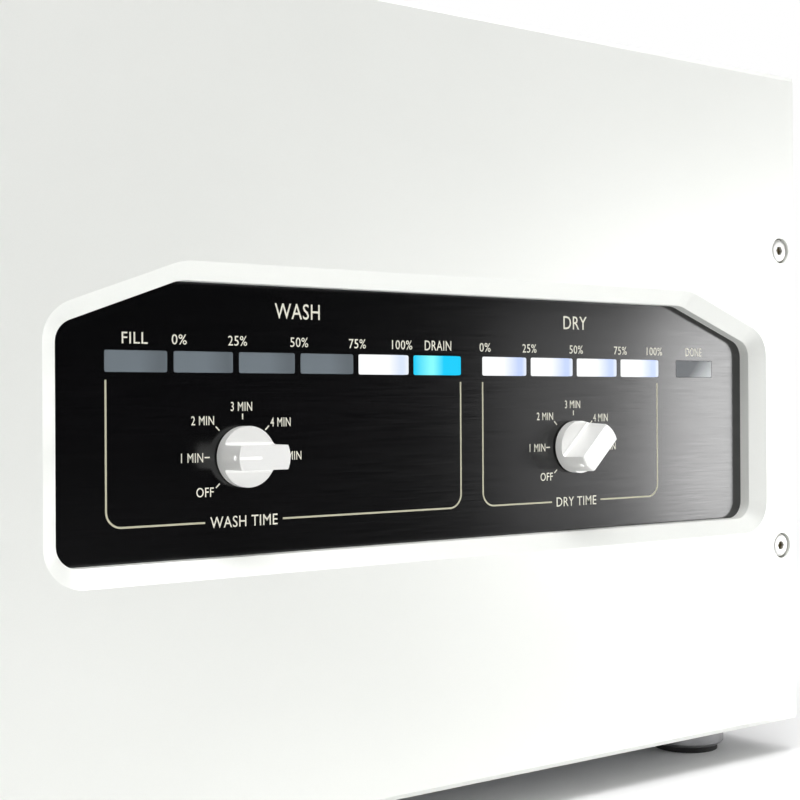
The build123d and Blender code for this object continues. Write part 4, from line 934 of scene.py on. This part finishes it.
    def bracket(self, name: str, shape: Bracket) -> None:
        """A bracket under a group of windows, open at its foot for a word.

        Args:
            name: the piece's name.
            shape: its lines and its opening.
        """
        top, low = self.bracket_top, self.bracket_low
        middle = self.layout.middle
        whole = bmesh.new()
        for side, inner in zip((shape.left, shape.right), shape.gap):
            merged(whole, self.strip([Vector((middle + side, 0, top)), Vector((middle + side, 0, low)),
                                      Vector((middle + inner, 0, low))]))
        ink = self.dressing.variant("panel_print", f"{name}_ink", colour=self.line_ink)
        finished(name, whole, ink, Body.CASE)

    def build(self) -> None:
        """Makes all the print."""
        middle = self.layout.middle
        self.words("print_titles", TITLES, middle)
        self.words("print_progress", PROGRESS, middle)
        self.words("print_times", TIMES, middle)
        self.dial("print_wash_dial", self.layout.wash_x)
        self.dial("print_dry_dial", self.layout.dry_x)
        self.bracket("print_wash_bracket", Bracket(-159.3, 3.0, (-119.4, -85.4)))
        self.bracket("print_dry_bracket", Bracket(15.1, 121.7, (54.7, 84.5)))


@dataclass
class KnobMarks:
    """The white line and dot on one knob, laid in its engraving."""

    layout: FrontLayout
    dressing: CadDressing
    face_up: float = 17.5
    face_r: float = 11.0
    line_long: float = 9.4
    line_w: float = 0.9
    line_deep: float = 0.3
    line_clear: float = 0.02
    line_sunk: float = 0.04
    line_short: float = 0.35
    dot_up: float = 14.0
    dot_r: float = 0.95
    dot_t: float = 0.3
    dot_out: float = 0.08
    dot_sides: int = 20

    def build(self, name: str, body: Body, x: float, degrees: float) -> None:
        """Makes the line and dot for a knob that points at an angle.

        Args:
            name: the piece's name.
            body: the knob's body.
            x: the knob's axis.
            degrees: its pointer at rest, anticlockwise from the right.
        """
        half = self.line_w / 2 - self.line_clear
        whole = box_mesh(
            Vector((self.face_r - self.line_long, -half, self.face_up - self.line_deep)),
            Vector((self.face_r - self.line_short, half, self.face_up - self.line_sunk)))
        dot = bmesh.new()
        bmesh.ops.create_cone(dot, cap_ends=True, segments=self.dot_sides, radius1=self.dot_r,
                              radius2=self.dot_r, depth=self.dot_t)
        place = Matrix.Translation((self.face_r + self.dot_out, 0, self.dot_up))
        merged(whole, dot, place @ rotation(90.0, "Y"))
        angle = math.radians(degrees)
        along = Vector((math.cos(angle), 0, math.sin(angle)))
        out = Vector((0, -1, 0))
        matrix = Matrix((along, out.cross(along), out)).transposed().to_4x4()
        matrix.translation = Vector((x, self.layout.panel_y, self.layout.knob_z))
        bmesh.ops.transform(whole, matrix=matrix, verts=whole.verts)
        # the pointer paint carries a faint painted glow
        finished(name, whole, self.dressing.material("pointer_paint"), body)


# ------------------------------------------------------------------ camera and light
@dataclass(frozen=True)
class Lamp:
    """One soft rectangular lamp, in metres and watts. Matt surfaces take the share named diffuse."""

    name: str
    place: Colour
    target: Colour
    size: Span
    watts: float
    diffuse: float = 1.0

    def build(self) -> None:
        """Makes the lamp."""
        data = bpy.data.lights.new(self.name, "AREA")
        data.shape = "RECTANGLE"
        data.size, data.size_y = self.size
        data.energy = self.watts
        data.diffuse_factor = self.diffuse
        lamp = linked(self.name, data)
        lamp.visible_camera = False
        lamp.location = self.place
        toward = Vector(self.target) - Vector(self.place)
        lamp.rotation_euler = toward.to_track_quat("-Z", "Y").to_euler()


LAMPS = (
    Lamp("right_card", (1.05, -0.575, 0.15), (0.0, 0.346, 0.15), (0.6, 0.28), 4.0, 0.12),
    Lamp("card_edge", (0.775, -0.855, 0.15), (0.0, 0.346, 0.15), (0.18, 0.28), 0.14, 0.12),
    Lamp("low_front", (-0.8, -1.0, 0.12), (0.0, -0.1, 0.25), (0.7, 0.2), 1.5),
    Lamp("floor_glow", (-0.2, -0.42, 0.012), (-0.2, -0.42, 1.0), (0.4, 0.12), 0.2),
    Lamp("top_front", (-0.1, -0.34, 1.35), (0.0, -0.1, 0.1), (1.0, 0.5), 13.5),
    Lamp("behind", (0.6, 1.3, 1.2), (0.0, 0.0, 0.2), (1.2, 1.2), 14.0),
)


@dataclass(frozen=True)
class Studio:
    """The camera, the pale floor and the soft light.

    Glossy surfaces see the floor and the world go dark in front of the machine, over the spans
    named floor_ahead and world_ahead, and the world also on its right, over world_aside.
    """

    shift: float
    eye: Colour = (-0.37092, -0.58592, 0.17624)
    forward: Colour = (0.58427157, 0.81155443, 0.00247847)
    upward: Colour = (0.00281697, -0.00508198, 0.99998312)
    lens_mm: float = 63.75
    film_mm: float = 36.0
    clip: Span = (0.02, 50.0)
    floor_half: float = 4.0
    floor_pale: Colour = (0.9, 0.9, 0.9)
    floor_dark: Colour = (0.02, 0.02, 0.02)
    floor_ahead: Span = (-0.45, -0.15)
    floor_fade: Span = (0.4, 1.5)
    floor_roughness: float = 0.8
    world_level: float = 0.48
    world_ahead: Span = (-0.70, -0.25)
    ahead_level: Span = (0.008, 0.8)
    world_aside: Span = (0.35, 0.9)
    aside_level: Span = (1.0, 0.04)

    def camera(self) -> None:
        """Places the camera."""
        data = bpy.data.cameras.new("camera")
        data.lens = self.lens_mm
        data.sensor_width = self.film_mm
        data.sensor_fit = "HORIZONTAL"
        data.clip_start, data.clip_end = self.clip
        camera = linked("camera", data)
        forward = Vector(self.forward).normalized()
        right = forward.cross(Vector(self.upward)).normalized()
        matrix = Matrix((right, right.cross(forward), -forward)).transposed().to_4x4()
        matrix.translation = Vector(self.eye) + Vector((self.shift, 0.0, 0.0))
        camera.matrix_world = matrix
        bpy.context.scene.camera = camera

    def floor(self) -> None:
        """Lays a pale matt floor that fades to plain white away from the machine."""
        mesh = bmesh.new()
        bmesh.ops.create_grid(mesh, x_segments=2, y_segments=2, size=self.floor_half)
        data = bpy.data.meshes.new("floor")
        mesh.to_mesh(data)
        mesh.free()
        floor = linked("floor", data)
        shader = Shader("pale_floor")
        reach = shader.add("VectorMath")
        reach.operation = "LENGTH"
        shader.link(shader.coords.outputs["Object"], reach.inputs[0])
        path = shader.add("LightPath")
        ahead = shader.spread(shader.split().outputs["Y"], 1.0, 0.0, self.floor_ahead)
        hidden = shader.math("MULTIPLY", path.outputs["Is Glossy Ray"], ahead)
        shader.drive("Base Color", shader.blend(hidden, self.floor_pale, self.floor_dark))
        shader.put("Roughness", self.floor_roughness)
        away = shader.math("MULTIPLY", path.outputs["Is Camera Ray"],
                           shader.spread(reach.outputs["Value"], 0.0, 1.0, self.floor_fade))
        plain = shader.add("Emission")
        mixed = shader.cross(away, shader.bsdf.outputs["BSDF"], plain.outputs["Emission"])
        shader.link(mixed, shader.tree.nodes["Material Output"].inputs["Surface"])
        data.materials.append(shader.material)

    def world(self) -> None:
        """Lights the scene evenly from all round, and shows white to the camera and through glass."""
        world = bpy.data.worlds.new("studio")
        world.use_nodes = True
        nodes = Nodes(world.node_tree)
        split = nodes.split("Generated")
        ahead = nodes.spread(split.outputs["Y"], *self.ahead_level, self.world_ahead, eased=True)
        aside = nodes.spread(split.outputs["X"], *self.aside_level, self.world_aside, eased=True)
        even, glossy, white = nodes.tree.nodes["Background"], nodes.add("Background"), nodes.add("Background")
        for light in (even, glossy, white):
            light.inputs["Color"].default_value = (*WHITE, 1.0)
        even.inputs["Strength"].default_value = self.world_level
        nodes.link(nodes.math("MULTIPLY", ahead, aside), glossy.inputs["Strength"])
        white.inputs["Strength"].default_value = 1.0
        path = nodes.add("LightPath")
        seen = nodes.math("MAXIMUM", path.outputs["Is Camera Ray"], path.outputs["Is Transmission Ray"])
        lit = nodes.cross(path.outputs["Is Glossy Ray"], even.outputs[0], glossy.outputs[0])
        nodes.link(nodes.cross(seen, lit, white.outputs[0]),
                   nodes.tree.nodes["World Output"].inputs["Surface"])
        bpy.context.scene.world = world

    def build(self) -> None:
        """Makes the whole studio."""
        self.camera()
        self.floor()
        self.world()
        for lamp in LAMPS:
            lamp.build()
        bpy.context.scene.view_settings.view_transform = "Standard"


def main() -> None:
    """Builds every piece in order."""
    logging.basicConfig(level=logging.INFO, format="%(message)s")
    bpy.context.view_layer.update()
    layout = FrontLayout()
    dressing = CadDressing(FINISHES)
    marks = KnobMarks(layout, dressing)
    steps: list[tuple[str, Callable[[], None]]] = [
        ("studio", Studio(layout.middle * MM).build),
        ("finishes", dressing.dress),
        ("indicators", IndicatorRow(layout).build),
        ("print", PanelPrint(layout, dressing).build),
    ]
    for name, step in steps:
        LOG.info("building %s", name)
        step()
    marks.build("wash_knob_marks", Body.WASH, layout.wash_x, 180.0)
    marks.build("dry_knob_marks", Body.DRY, layout.dry_x, 225.0)


if __name__ == "__main__":
    main()
